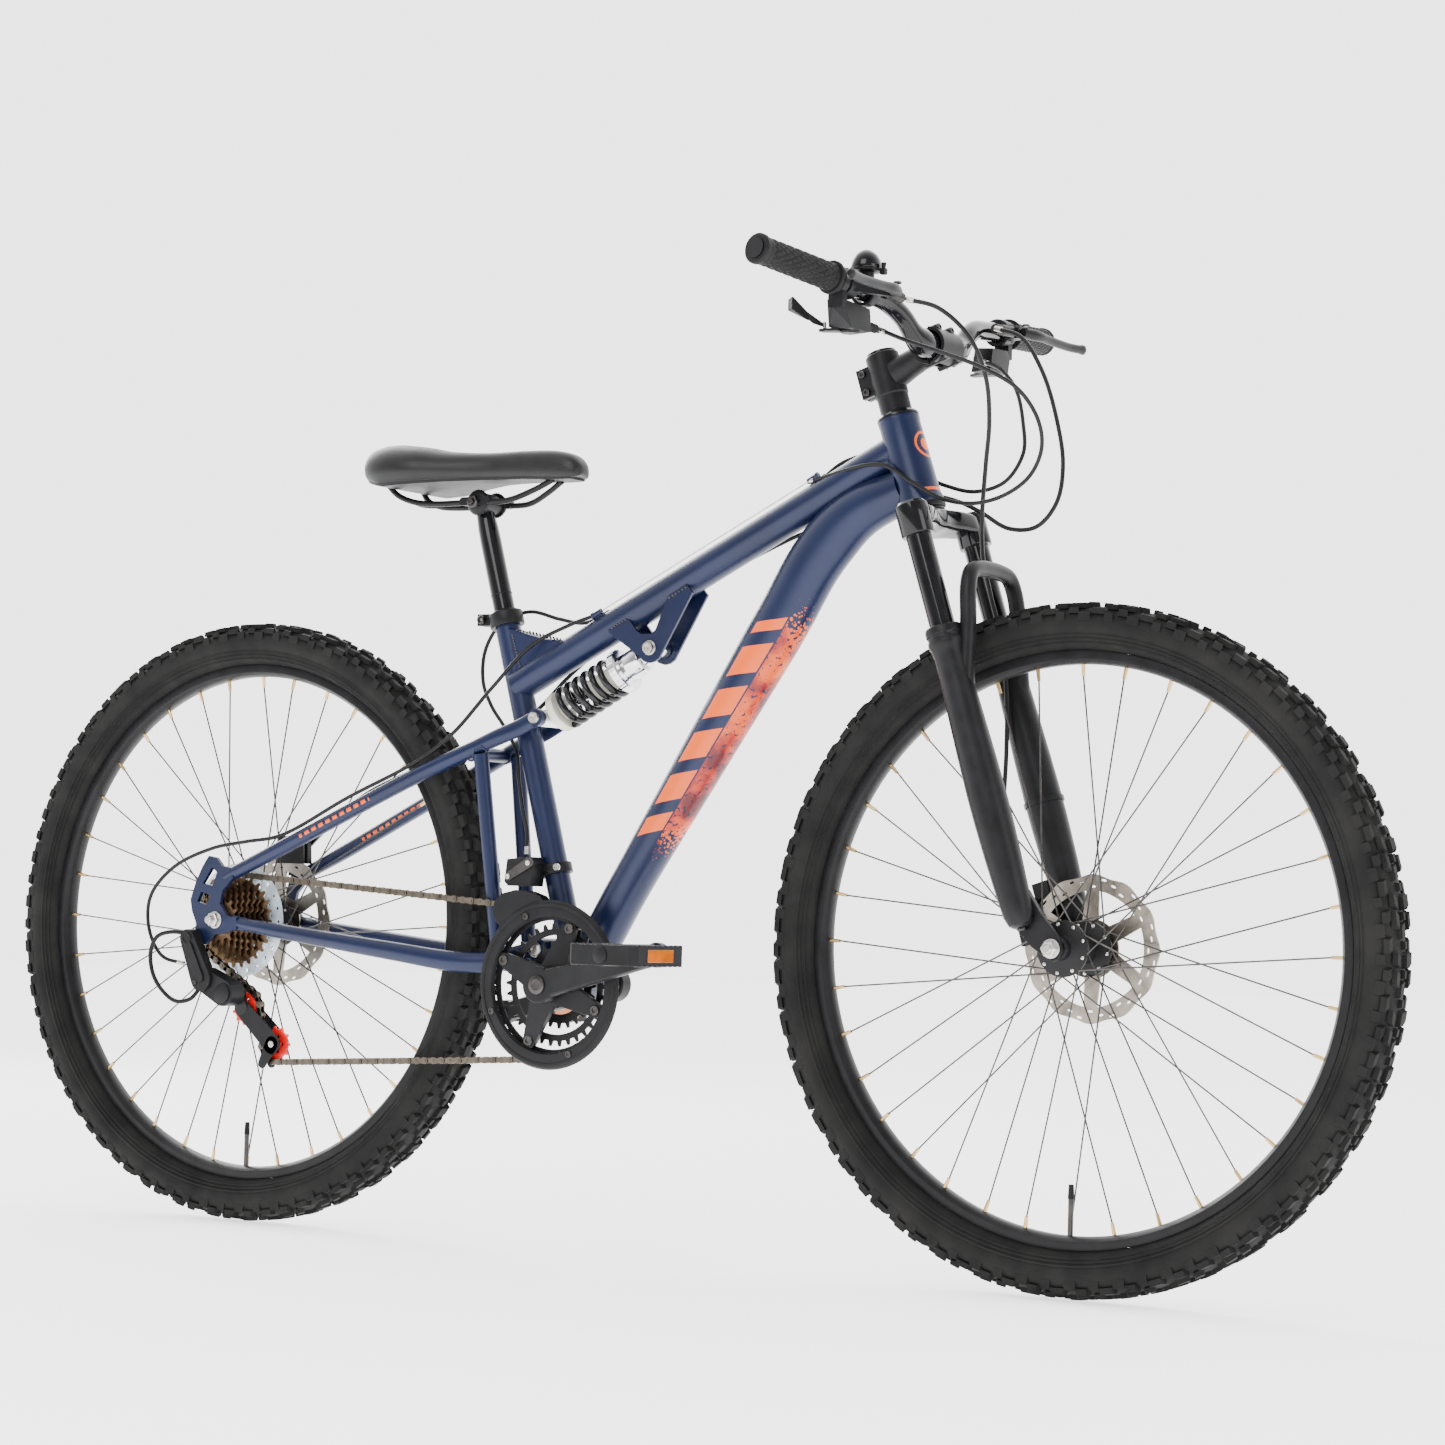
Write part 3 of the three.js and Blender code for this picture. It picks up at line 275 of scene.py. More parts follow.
def down_tube_paint():
    """Navy with orange slanted bars on both sides and a red marbled panel underneath."""
    paint = navy_paint("navy_graphics")
    along, around = split_uv(paint)
    side = paint.math("ABSOLUTE", paint.math("SUBTRACT", paint.math("FRACT", paint.math("ADD", around, 0.5)),
                                             0.5))
    height = paint.math("SUBTRACT", side, 0.25)
    lean = paint.math("ADD", along, paint.math("MULTIPLY", height, 0.16))
    bars = paint.math("LESS_THAN", paint.math("FRACT", paint.math("MULTIPLY", lean, 17.5)), 0.68)
    bars = paint.math("MULTIPLY", bars, paint.between(height, -0.085, 0.075))
    bars = paint.math("MULTIPLY", bars, paint.between(lean, 0.185, 0.472))
    cells = paint.node("TexVoronoi", Vector=paint.coords.outputs["Object"], Scale=260)
    edge = paint.node("MapRange", Value=paint.math("ABSOLUTE", paint.math("SUBTRACT", along, 0.335)))
    edge.inputs["From Min"].default_value = 0.125
    edge.inputs["From Max"].default_value = 0.205
    dots = paint.math("GREATER_THAN", paint.math("SUBTRACT", 0.75, edge.outputs[0]),
                      cells.outputs["Distance"])
    panel = paint.math("MULTIPLY", dots, paint.between(side, -0.02, 0.155))
    panel = paint.math("MULTIPLY", panel, paint.between(along, 0.13, 0.54))
    marble = paint.ramp(paint.noise(26, 7), [(0.42, (0.12, 0.006, 0.01)), (0.5, RED),
                                             (0.62, (0.80, 0.10, 0.005))])
    base = paint.shader.inputs["Base Color"].links[0].from_socket
    colour = paint.mix(bars, paint.mix(panel, base, marble), ORANGE)
    paint.link(colour, "Base Color")
    printed = paint.math("MAXIMUM", bars, panel)
    paint.link(paint.math("SUBTRACT", 0.25, paint.math("MULTIPLY", printed, 0.25)), "Metallic")
    return paint


def stay_paint():
    """Navy with one thin orange dash line along each seatstay."""
    paint = navy_paint("navy_stay")
    along, around = split_uv(paint)
    side = paint.math("ABSOLUTE", paint.math("SUBTRACT", paint.math("FRACT", paint.math("ADD", around, 0.5)),
                                             0.5))
    dash = paint.math("LESS_THAN", paint.math("FRACT", paint.math("MULTIPLY", along, 90)), 0.62)
    dash = paint.math("MULTIPLY", dash, paint.between(side, 0.20, 0.275))
    dash = paint.math("MULTIPLY", dash, paint.between(along, 0.125, 0.235))
    base = paint.shader.inputs["Base Color"].links[0].from_socket
    paint.link(paint.mix(dash, base, ORANGE), "Base Color")
    return paint


def head_paint():
    """Navy with a plain orange ring badge on the front and a short orange line below it."""
    paint = navy_paint("navy_badge")
    along, around = split_uv(paint)
    across = paint.math("MULTIPLY", paint.math("SUBTRACT",
                                               paint.math("FRACT", paint.math("ADD", around, 0.75)), 0.5),
                                               0.15)
    rise = paint.math("SUBTRACT", along, 0.066)
    radius = paint.math("SQRT", paint.math("ADD", paint.math("MULTIPLY", across, across),
                                           paint.math("MULTIPLY", rise, rise)))
    ring = paint.math("ADD", paint.between(radius, 0.0125, 0.0155), paint.between(radius, 0.0, 0.007))
    line = paint.math("MULTIPLY", paint.between(along, 0.012, 0.0155), paint.between(across, -0.018, 0.018))
    base = paint.shader.inputs["Base Color"].links[0].from_socket
    paint.link(paint.mix(paint.math("MAXIMUM", ring, line), base, ORANGE), "Base Color")
    return paint


def tyre_paint():
    paint = Paint("tyre_rubber", (0.010, 0.010, 0.010), 0.78, 0, specular_ior_level=0.18)
    paint.mottle((0.006, 0.006, 0.006), (0.015, 0.0145, 0.014), 22)
    paint.rough(0.62, 0.85, 45)
    return paint.grain(420, 0.35, 0.0005)


def vinyl_paint():
    paint = Paint("saddle_vinyl", (0.008, 0.008, 0.009), 0.42, 0, specular_ior_level=0.35)
    paint.mottle((0.006, 0.006, 0.0065), (0.011, 0.011, 0.012), 30)
    cells = paint.node("TexVoronoi", Vector=paint.coords.outputs["Object"], Scale=900)
    paint.rough(0.36, 0.5, 120)
    return paint.bump(cells.outputs["Distance"], 0.12, 0.0002)


def brushed(name, colour, roughness, scale=300, metallic=1.0, **sockets):
    paint = Paint(name, colour, roughness, metallic, **sockets)
    paint.mottle(tuple(c * 0.75 for c in colour), tuple(min(1, c * 1.15) for c in colour), 60)
    paint.rough(max(0.05, roughness - 0.08), roughness + 0.12, 140)
    return paint.grain(scale, 0.12, 0.0001)


def plastic(name, colour, roughness, scale=900, strength=0.15, **sockets):
    paint = Paint(name, colour, roughness, 0, specular_ior_level=0.2, **sockets)
    paint.mottle(tuple(c * 0.7 for c in colour), tuple(c * 1.35 for c in colour), 40)
    paint.rough(max(0.05, roughness - 0.08), roughness + 0.08, 80)
    return paint.grain(scale, strength, 0.0002)


M = {
    "navy": navy_paint("navy"),
    "graphics": down_tube_paint(),
    "stay": stay_paint(),
    "badge": head_paint(),
    "tyre": tyre_paint(),
    "vinyl": vinyl_paint(),
    "satin": plastic("satin_black", (0.008, 0.008, 0.009), 0.40, 1200, 0.08),
    "gloss": plastic("gloss_black", (0.005, 0.005, 0.006), 0.14, 1500, 0.02, coat_weight=0.3),
    "rubber": plastic("grip_rubber", (0.008, 0.008, 0.008), 0.6, 700, 0.3),
    "resin": plastic("black_resin", (0.008, 0.008, 0.009), 0.46, 800, 0.25),
    "cable": plastic("cable_sleeve", (0.010, 0.010, 0.011), 0.35, 900, 0.1),
    "chrome": brushed("chrome", (0.82, 0.82, 0.84), 0.08, 500),
    "steel": brushed("plated_steel", (0.62, 0.60, 0.57), 0.28),
    "dark_steel": brushed("dark_steel", (0.075, 0.07, 0.068), 0.34),
    "brown": brushed("brown_steel", (0.16, 0.10, 0.055), 0.34),
    "rotor": brushed("rotor_steel", (0.40, 0.355, 0.30), 0.3, 220),
    "brass": brushed("brass", (0.75, 0.52, 0.24), 0.3),
    "chain": brushed("chain_steel", (0.13, 0.108, 0.085), 0.36),
    "cream": plastic("cream_cap", (0.75, 0.72, 0.62), 0.35, 600, 0.1),
    "amber": plastic("amber_reflector", (0.55, 0.12, 0.0), 0.2, 240, 0.5, coat_weight=0.8),
    "red": plastic("red_resin", (0.75, 0.012, 0.012), 0.3, 500, 0.1, coat_weight=0.3),
    "clear": plastic("clear_resin", (0.62, 0.72, 0.80), 0.12, 300, 0.1, transmission_weight=0.45, alpha=0.75),
}


# ---------------------------------------------------------------- mesh building
def smooth_path(points, count):
    """Evenly spaced points on a smooth curve through the given ones."""
    p = np.array(points, float)
    knots = np.concatenate([[0], np.cumsum(np.sqrt(np.linalg.norm(np.diff(p, axis=0), axis=1)))])
    slopes = np.gradient(p, knots, axis=0)
    fine = []
    for i in range(len(p) - 1):
        h = knots[i + 1] - knots[i]
        t = np.linspace(0, 1, 24, endpoint=False)[:, None]
        fine.append((2 * t**3 - 3 * t**2 + 1) * p[i] + (t**3 - 2 * t**2 + t) * h * slopes[i]
                    + (3 * t**2 - 2 * t**3) * p[i + 1] + (t**3 - t**2) * h * slopes[i + 1])
    fine = np.vstack([*fine, p[-1:]])
    reach = np.concatenate([[0], np.cumsum(np.linalg.norm(np.diff(fine, axis=0), axis=1))])
    spread = np.linspace(0, reach[-1], count)
    return np.stack([np.interp(spread, reach, fine[:, k]) for k in range(3)], -1)


def circle(x, z, radius, sides=16, start=0.0):
    return [(x + radius * math.cos(start + i * TAU / sides), z + radius * math.sin(start + i * TAU / sides))
            for i in range(sides)]


def polar(centre, radius, angle):
    return centre[0] + radius * math.cos(angle), centre[-1] + radius * math.sin(angle)


def frames_along(path, cyclic=False):
    """A normal and a side vector at each point of the path, without twist."""
    if cyclic:
        tangent = np.roll(path, -1, 0) - np.roll(path, 1, 0)
    else:
        tangent = np.gradient(path, axis=0)
    tangent /= np.linalg.norm(tangent, axis=1)[:, None]
    normal = np.cross((0, 1, 0), tangent[0])
    if np.linalg.norm(normal) < 0.2:
        normal = np.cross((0, 0, 1), tangent[0])
    normals = []
    for t in tangent:
        normal = normal - t * normal.dot(t)
        normal /= np.linalg.norm(normal)
        normals.append(normal)
    normals = np.array(normals)
    return normals, np.cross(tangent, normals)


class Shape:
    """Collects closed skins in millimetres and builds them as one piece."""

    def __init__(self, place=None):
        self.place = place
        self.points, self.faces, self.uvs, self.slots, self.paints = [], [], [], [], []
        self.count = 0

    def slot_of(self, paint):
        if paint not in self.paints:
            self.paints.append(paint)
        return self.paints.index(paint)

    def add(self, points, faces, paint, uvs=None):
        points = np.asarray(points, float).reshape(-1, 3)
        slot = self.slot_of(paint)
        for i, face in enumerate(faces):
            self.faces.append([v + self.count for v in face])
            self.slots.append(slot)
            self.uvs.extend(uvs[i] if uvs is not None else [(0.0, 0.0)] * len(face))
        self.points.append(points)
        self.count += len(points)
        return self

    def rings(self, rings, paint, cyclic=False, caps=True):
        rings = np.asarray(rings, float)
        n, m = rings.shape[:2]
        middle = rings.mean(1)
        reach = np.concatenate([[0], np.cumsum(np.linalg.norm(np.diff(middle, axis=0), axis=1))]) * MM
        faces, uvs = [], []
        for i in range(n if cyclic else n - 1):
            k = (i + 1) % n
            for j in range(m):
                l = (j + 1) % m
                faces.append((i * m + j, i * m + l, k * m + l, k * m + j))
                a, b = j / m, (j + 1) / m
                uvs.append([(reach[i], a), (reach[i], b), (reach[k], b), (reach[k], a)])
        if caps and not cyclic:
            faces += [tuple(range(m))[::-1], tuple(range((n - 1) * m, n * m))]
            uvs += [[(0.0, 0.0)] * m] * 2
        return self.add(rings, faces, paint, uvs)

    def sweep(self, path, sizes, paint, sides=20, cyclic=False, caps=True, wave=None):
        path = np.array(path, float)
        sizes = np.array([s if np.ndim(s) else (s, s) for s in np.broadcast_to(sizes, len(path))]
                         if np.ndim(sizes) < 2 else sizes, float)
        normals, sidewards = frames_along(path, cyclic)
        angle = np.arange(sides) * TAU / sides
        scale = np.ones((len(path), sides)) if wave is None else wave(np.arange(len(path))[:, None],
            angle[None])
        rings = (path[:, None] + normals[:, None] * (np.cos(angle)[None] * sizes[:, :1] * scale)[..., None]
                 + sidewards[:, None] * (np.sin(angle)[None] * sizes[:, 1:] * scale)[..., None])
        return self.rings(rings, paint, cyclic, caps)

    def tube(self, points, radius, paint, sides=12, steps=40, caps=True):
        return self.sweep(smooth_path(points, steps), radius, paint, sides, caps=caps)

    def rod(self, a, b, radius, paint, sides=24, end=None):
        return self.sweep([a, b], [radius, radius if end is None else end], paint, sides)

    def rod_y(self, x, z, y0, y1, radius, paint, sides=24):
        return self.rod((x, y0, z), (x, y1, z), radius, paint, sides)

    def revolve(self, profile, origin, axis, paint, segments=32, closed=False):
        """Turns [radius, height] points about an axis; the profile runs up its outside."""
        w = np.array(axis, float) / np.linalg.norm(axis)
        u = np.cross(w, (0, 0, 1) if abs(w[2]) < 0.9 else (1, 0, 0))
        u /= np.linalg.norm(u)
        v = np.cross(w, u)
        profile = np.array(profile, float)
        angle = np.arange(segments) * TAU / segments
        spin = np.cos(angle)[:, None] * u + np.sin(angle)[:, None] * v
        rings = np.array(origin, float) + profile[:, None, :1] * spin[None] + profile[:, None, 1:] * w
        return self.rings(rings, paint, cyclic=closed)

    def wheel(self, profile, centre, paint, segments=96):
        """A closed ring about +Y; the profile lists [radius, y]."""
        return self.revolve([(r, y) for r, y in profile], (centre[0], 0, centre[2]), (0, 1, 0), paint,
                            segments, True)

    def plate(self, outline, y0, y1, paint, holes=()):
        loops = [list(outline), *[list(h) for h in holes]]
        flat = [[Vector((x, z, 0)) for x, z in loop] for loop in loops]
        points, walls = [], []
        total = sum(map(len, loops))
        for loop in loops:
            first = len(points)
            points += loop
            walls += [(first + i, first + (i + 1) % len(loop)) for i in range(len(loop))]
        faces = [tuple(t) for t in tessellate_polygon(flat)]
        faces = [*faces, *[tuple(total + v for v in t[::-1]) for t in faces]]
        faces += [(a, b, b + total, a + total) for a, b in walls]
        solid = [(x, y0, z) for x, z in points] + [(x, y1, z) for x, z in points]
        return self.add(solid, faces, paint)

    def link(self, a, ra, ya, b, rb, yb, paint, sides=20):
        """Bar with round ends at (x, z) points a and b, each end with its own y range."""
        a, b = np.array(a, float), np.array(b, float)
        heading = math.atan2(b[1] - a[1], b[0] - a[0])
        lean = math.asin(max(-1, min(1, (ra - rb) / np.linalg.norm(b - a))))
        half = sides // 2
        ring = []
        for centre, r, ys, start, stop in ((b, rb, yb, heading - math.pi / 2 + lean,
                                            heading + math.pi / 2 - lean),
                                           (a, ra, ya, heading + math.pi / 2 - lean,
                                            heading + 1.5 * math.pi + lean)):
            ring += [(centre[0] + r * math.cos(t), ys, centre[1] + r * math.sin(t))
                     for t in np.linspace(start, stop, half)]
        return self.rings([[(x, ys[k], z) for x, ys, z in ring] for k in (0, 1)], paint)

    def box(self, low, high, paint, taper=1.0):
        low, high = np.array(low, float), np.array(high, float)
        c = (low + high) / 2
        ring = [(low[0], low[1]), (high[0], low[1]), (high[0], high[1]), (low[0], high[1])]
        top = [(c[0] + (x - c[0]) * taper, c[1] + (y - c[1]) * taper) for x, y in ring]
        return self.rings([[(x, y, low[2]) for x, y in ring], [(x, y, high[2]) for x, y in top]], paint)

    def bolt(self, centre, axis, radius, height, paint, hexagon=False):
        """A round cap with a socket, or a hexagon head, standing on the centre point."""
        if hexagon:
            self.revolve([(radius, 0), (radius, height * 0.8), (radius * 0.86, height)], centre, axis, paint,
                         6)
            return self.revolve([(radius * 0.5, height), (radius * 0.46, height * 1.6)], centre, axis, paint,
                                14)
        profile = [(radius, 0), (radius, height * 0.7), (radius * 0.85, height), (radius * 0.5, height),
                   (radius * 0.48, height * 0.45), (0.05, height * 0.4)]
        return self.revolve(profile, centre, axis, paint, 18)

    def build(self, name, body, nodes=(), slot=None, bevel=0.0, angle=35, ride=True, subdivide=0):
        points = np.vstack(self.points)
        mesh = bpy.data.meshes.new(name)
        mesh.from_pydata((points * MM).tolist(), [], self.faces)
        for paint in self.paints:
            mesh.materials.append(M[paint].material)
        mesh.polygons.foreach_set("material_index", self.slots)
        layer = mesh.uv_layers.new(name="UVMap")
        layer.data.foreach_set("uv", np.array(self.uvs, float).ravel())
        if self.place is not None:
            place = self.place.copy()
            place.translation *= MM
            mesh.transform(place)
        mesh.validate()
        recalculate(mesh)
        mesh.polygons.foreach_set("use_smooth", [True] * len(mesh.polygons))
        mesh.set_sharp_from_angle(angle=math.radians(angle))
        piece = bpy.data.objects.new(name, mesh)
        bpy.context.collection.objects.link(piece)
        if bevel:
            modifier = piece.modifiers.new("bevel", "BEVEL")
            modifier.width = bevel * MM
            modifier.segments = 2
            modifier.limit_method = "ANGLE"
            modifier.angle_limit = math.radians(38)
            modifier.harden_normals = True
        if subdivide:
            piece.modifiers.new("smooth", "SUBSURF").levels = subdivide
            piece.modifiers["smooth"].render_levels = subdivide
        if ride:
            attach(piece, body)
        if nodes:
            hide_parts(*nodes)
        return piece


def recalculate(mesh):
    work = bmesh.new()
    work.from_mesh(mesh)
    bmesh.ops.recalc_face_normals(work, faces=work.faces)
    work.to_mesh(mesh)
    work.free()


def tree_of(shape):
    return BVHTree.FromPolygons([Vector(p) for p in np.vstack(shape.points)], shape.faces)


def weld(shape, other, centre, direction, half, bead=2.0, count=64, ripples=46, paint="navy"):
    """Rippled bead where a tube of the given half sizes meets another shape."""
    direction = Vector(direction).normalized()
    upward = Vector((0, 1, 0)).cross(direction).normalized()
    tree = tree_of(other)
    path = []
    for i in range(count):
        t = i * TAU / count
        edge = upward * half[0] * math.cos(t) + Vector((0, 1, 0)) * half[1] * math.sin(t)
        hit = tree.ray_cast(Vector(centre) + edge, direction, 90)[0]
        if hit is not None:
            path.append(np.array(hit))
    if len(path) > count * 0.7:
        path = np.array(path)
        size = [bead * (1 + 0.18 * math.sin(ripples * TAU * i / len(path))) for i in range(len(path))]
        shape.sweep(path, size, paint, 8, cyclic=len(path) == count)


# ---------------------------------------------------------------- wheels
def add_tyre(name, centre, body, node):
    """Knobbly tyre: a smooth casing with staggered centre blocks and stepped shoulder blocks."""
    shape = Shape()
    casing = [(316.5, -12), (320, -17.5), (327, -24), (338, -28), (346, -28.2), (354, -25), (360, -17),
              (363, -7), (363, 7), (360, 17), (354, 25), (346, 28.2), (338, 28), (327, 24), (320, 17.5),
              (316.5, 12)]
    shape.wheel(casing, centre, "tyre", 144)
    ribs = 3
    for side in (-1, 1):
        for i in range(ribs):
            r = 323 + 4 * i
            y = side * (22 + 2.4 * i)
            shape.wheel([(r, y - 1.2), (r + 1.2, y + 1.2 * side), (r - 0.6, y + 1.4 * side)], centre, "tyre",
                        120)
    blocks = 78

    def block(angle, y, radius, long, wide, height, skew=0.0, slope=0.0):
        corner = []
        for top in (0, 1):
            grow = 1 - 0.16 * top
            for du, dv in ((-1, -1), (1, -1), (1, 1), (-1, 1)):
                across = y + dv * wide / 2 * grow
                turn = angle + (du * long / 2 * grow + skew * dv) / radius
                r = radius + top * height - abs(across) * slope
                corner.append((centre[0] + r * math.cos(turn), across, centre[2] + r * math.sin(turn)))
        shape.rings([corner[:4], corner[4:]], "tyre")

    for i in range(blocks):
        angle = i * TAU / blocks
        step = TAU / blocks
        odd = i % 2
        block(angle, -5.2 if odd else 5.2, 361.5, 15, 9.5, 6.2, skew=1.6)
        block(angle + step / 2, 0, 361.5, 9, 5.5, 6.0)
        for side in (-1, 1):
            block(angle + step * 0.35 * odd, side * 15, 361.5, 13 + 3 * odd, 8, 5.6, side * 2.2, 0.06)
            block(angle + step * 0.5, side * 23.5, 357.0, 16 - 4 * odd, 7.5, 6.4, side * -1.5, 0.10)
            block(angle, side * 26.6, 346.5, 11 + 4 * odd, 3.4, 9.5, 0, 0.0)
    return shape.build(name, body, [node], slot="tyre", angle=40)


def add_rim(name, centre, body, node):
    shape = Shape()
    profile = [(302, -6), (301.6, 0), (302, 6), (304.5, 10), (307, 12.6), (315.4, 13), (316.4, 12.4),
               (316.4, 10.8),
               (311, 10), (309, 5), (309, -5), (311, -10), (316.4, -10.8), (316.4, -12.4), (315.4, -13),
               (307, -12.6), (304.5, -10)]
    shape.wheel(profile, centre, "satin", 144)
    valve = np.array((centre[0], 0, centre[2]))
    shape.rod(valve + (0, 0, -302), valve + (0, 0, -262), 3, "dark_steel", 12)
    shape.rod(valve + (0, 0, -263), valve + (0, 0, -248), 3.6, "resin", 12, 2.8)
    return shape.build(name, body, [node], slot="satin_black")


def add_spokes(name, centre, body, flanges, flange_radius):
    """Three-cross lacing with bare nipples at the rim, as the hub's flanges hold it."""
    shape = Shape()
    count, crossing = 36, 6 * math.pi / 9
    for i in range(count):
        y = flanges[i % 2]
        turn = 1 if (i // 2) % 2 else -1
        out = i * TAU / count
        hub = polar(centre, flange_radius - 4, out + turn * crossing / 2)
        rim = polar(centre, RIM_INNER, out)
        inner = polar(centre, RIM_INNER - 13, out)
        tip = (hub[0], y + turn * 1.6, hub[1])
        seat = (inner[0], y * 0.1, inner[1])
        shape.rod(tip, seat, 0.95, "dark_steel", 8)
        shape.rod(seat, (rim[0], y * 0.06, rim[1]), 1.9, "brass", 10, 2.3)
        shape.revolve([(2.0, -1.4), (2.0, 0.6), (0.4, 1.4)], (hub[0], y + turn * 2.4, hub[1]), (0, turn, 0),
                      "steel", 8)
    return shape.build(name, body, slot="steel")


def rotor_shape(shape, centre, y):
    """Wavy brake disc with slots in its track and six swept arms."""
    outer = [polar(centre, 78.6 + 1.4 * math.cos(t * 12), t) for t in np.linspace(0, TAU, 145)[:-1]]
    holes = [circle(centre[0], centre[2], 21, 30)]
    for i in range(6):
        middle = i * TAU / 6
        rise = [polar(centre, 62 - 0.5 * math.cos(6 * t), middle + t) for t in np.linspace(-0.40, 0.40, 9)]
        fall = [polar(centre, 32, middle + t) for t in np.linspace(0.28, -0.16, 6)]
        holes.append(rise + fall)
    for i in range(36):
        middle = i * TAU / 36
        reach = (66.5, 71.0, 74.5)[i % 3]
        x, z = polar(centre, reach, middle)
        holes.append([(x + 3.4 * math.cos(t) * math.sin(middle) + 1.3 * math.sin(t) * math.cos(middle),
                       z - 3.4 * math.cos(t) * math.cos(middle) + 1.3 * math.sin(t) * math.sin(middle))
                      for t in np.linspace(0, TAU, 11)[:-1]])
    shape.plate(outer, y - 0.9, y + 0.9, "rotor", holes)
    for i in range(6):
        x, z = polar(centre, 26, i * TAU / 6 + 0.3)
        shape.bolt((x, y + 0.9, z), (0, 1, 0), 3.6, 2.2, "dark_steel")


def add_front_hub():
    shape = Shape()
    c = (FRONT[0], 0, FRONT[2])
    half = [(5.5, -48.5), (11, -48.5), (12.5, -45), (12.5, -37), (16, -36), (28, -34.6), (30, -33.5),
            (30, -30.5),
            (28, -29.6), (17, -27), (14.5, -20), (14, -8), (14.5, 8), (16, 18), (28, 21), (30, 22), (30, 25),
            (28, 26), (22, 27), (21.8, 37.4), (12, 38.4), (11, 48.5), (5.5, 48.5)]
    shape.revolve(half, c, (0, 1, 0), "satin", 40)
    for y, turn in ((-32, -1), (23, 1)):
        for i in range(18):
            x, z = polar(c, 21.5, i * TAU / 18)
            shape.rod_y(x, z, y + turn * 1.4, y + turn * 2.6, 1.6, "dark_steel", 8)
    shape.build("front_hub_shell", "front_wheel", ["front_hub"], slot="satin_black", bevel=0.3)
    disc = Shape()
    rotor_shape(disc, c, FRONT_ROTOR_Y)
    disc.build("front_brake_disc", "front_wheel", ["front_rotor"], slot="steel")
    add_spokes("front_spokes", c, "front_wheel", (-32, 23), 30)


def add_rear_hub():
    shape = Shape()
    c = (REAR[0], 0, REAR[2])
    half = [(5.5, -66.5), (12, -66.5), (12, -30), (14, -27.5), (28, -24.6), (30, -23.5), (30, -20.5),
            (28, -19.6),
            (18, -17), (15, -8), (14.5, 6), (15, 20), (18, 28), (28, 31.8), (30, 32.6), (30, 35.6),
            (28, 36.6),
            (22, 38), (21.8, 50.2), (12, 51.4), (11, 66.5), (5.5, 66.5)]
    shape.revolve(half, c, (0, 1, 0), "satin", 40)
    shape.build("rear_hub_shell", "rear_wheel", ["rear_hub"], slot="satin_black", bevel=0.3)
    guard = Shape()
    holes = [circle(*polar(c, 63, i * TAU / 24), 2.2, 10) for i in range(24)] + [circle(c[0], c[2], 14, 30)]
    holes += [circle(*polar(c, 52, (i + 0.5) * TAU / 24), 1.6, 8) for i in range(24)]
    guard.plate(circle(c[0], c[2], 70, 72), -29.8, -28.4, "clear", holes)
    guard.build("spoke_protector", "rear_wheel", slot="steel", bevel=0.2)
    disc = Shape()
    rotor_shape(disc, c, REAR_ROTOR_Y)
    disc.build("rear_brake_disc", "rear_wheel", ["rear_rotor"], slot="steel")
    add_spokes("rear_spokes", c, "rear_wheel", (-22, 34), 30)


def gear_outline(centre, teeth, root, tip, start=0.0):
    points = []
    for i in range(teeth):
        for part, radius in ((-0.42, root), (-0.25, root), (-0.10, tip), (0.10, tip), (0.25, root)):
            points.append(polar(centre, radius, start + (i + part) * TAU / teeth))
    return points


def add_freewheel():
    shape = Shape()
    for i, teeth in enumerate(COGS):
        y = COG_PLANE - 4.8 * i
        pitch_radius = PITCH / 2 / math.sin(math.pi / teeth)
        holes = [circle(REAR[0], REAR[2], 19.5, 30)]
        if teeth > 20:
            holes += [circle(*polar(REAR, pitch_radius * 0.68, k * TAU / 8), pitch_radius * 0.12,
                             12) for k in range(8)]
        shape.plate(gear_outline(REAR, teeth, pitch_radius - 4.2, pitch_radius + 1.6), y - 0.9, y + 0.9,
                    "brown", holes)
    shape.revolve([(12.4, -35), (20, -35), (20, -65.5), (17, -66), (12.4, -66)], (REAR[0], 0, REAR[2]),
                  (0, 1, 0),
                  "brown", 36)
    shape.build("freewheel_cogs", "freewheel", ["freewheel"], slot="brown_steel")


def axle(name, body, node, x, z, right, left, tips):
    """Threaded axle with a hexagon nut and a toothed washer at each end."""
    shape = Shape()
    thread = [(4.9 + (0.25 if k % 2 else -0.1), y) for k, y in enumerate(np.arange(tips[0], tips[1], 1.2))]
    shape.revolve([(3.8, tips[0] - 0.8), *thread, (3.8, tips[1] + 0.4)], (x, 0, z), (0, 1, 0), "steel", 16)
    for side, y in ((-1, right), (1, left)):
        c = np.array((x, side * y, z))
        shape.revolve([(10.4, 0), (10.4, 1.4), (7, 1.6)], c, (0, side, 0), "steel", 30)
        shape.revolve([(9.3, 1.5), (9.3, 7.0), (7.6, 8.2), (5.2, 8.2)], c, (0, side, 0), "steel", 6)
    shape.build(name, body, [node], slot="steel", bevel=0.4, angle=25)


def add_wheels():
    add_tyre("front_tread", FRONT, "front_wheel", "front_tyre")
    add_tyre("rear_tread", REAR, "rear_wheel", "rear_tyre")
    add_rim("front_rim_hoop", FRONT, "front_wheel", "front_rim")
    add_rim("rear_rim_hoop", REAR, "rear_wheel", "rear_rim")
    add_front_hub()
    add_rear_hub()
    add_freewheel()
    axle("front_axle_bolt", "fork_lower", "front_axle", FRONT[0], FRONT[2], 59.3, 59.3, (-69, 69))
    axle("rear_axle_bolt", "swingarm", "rear_axle", REAR[0], REAR[2], 73.2, 73.2, (-87, 83))


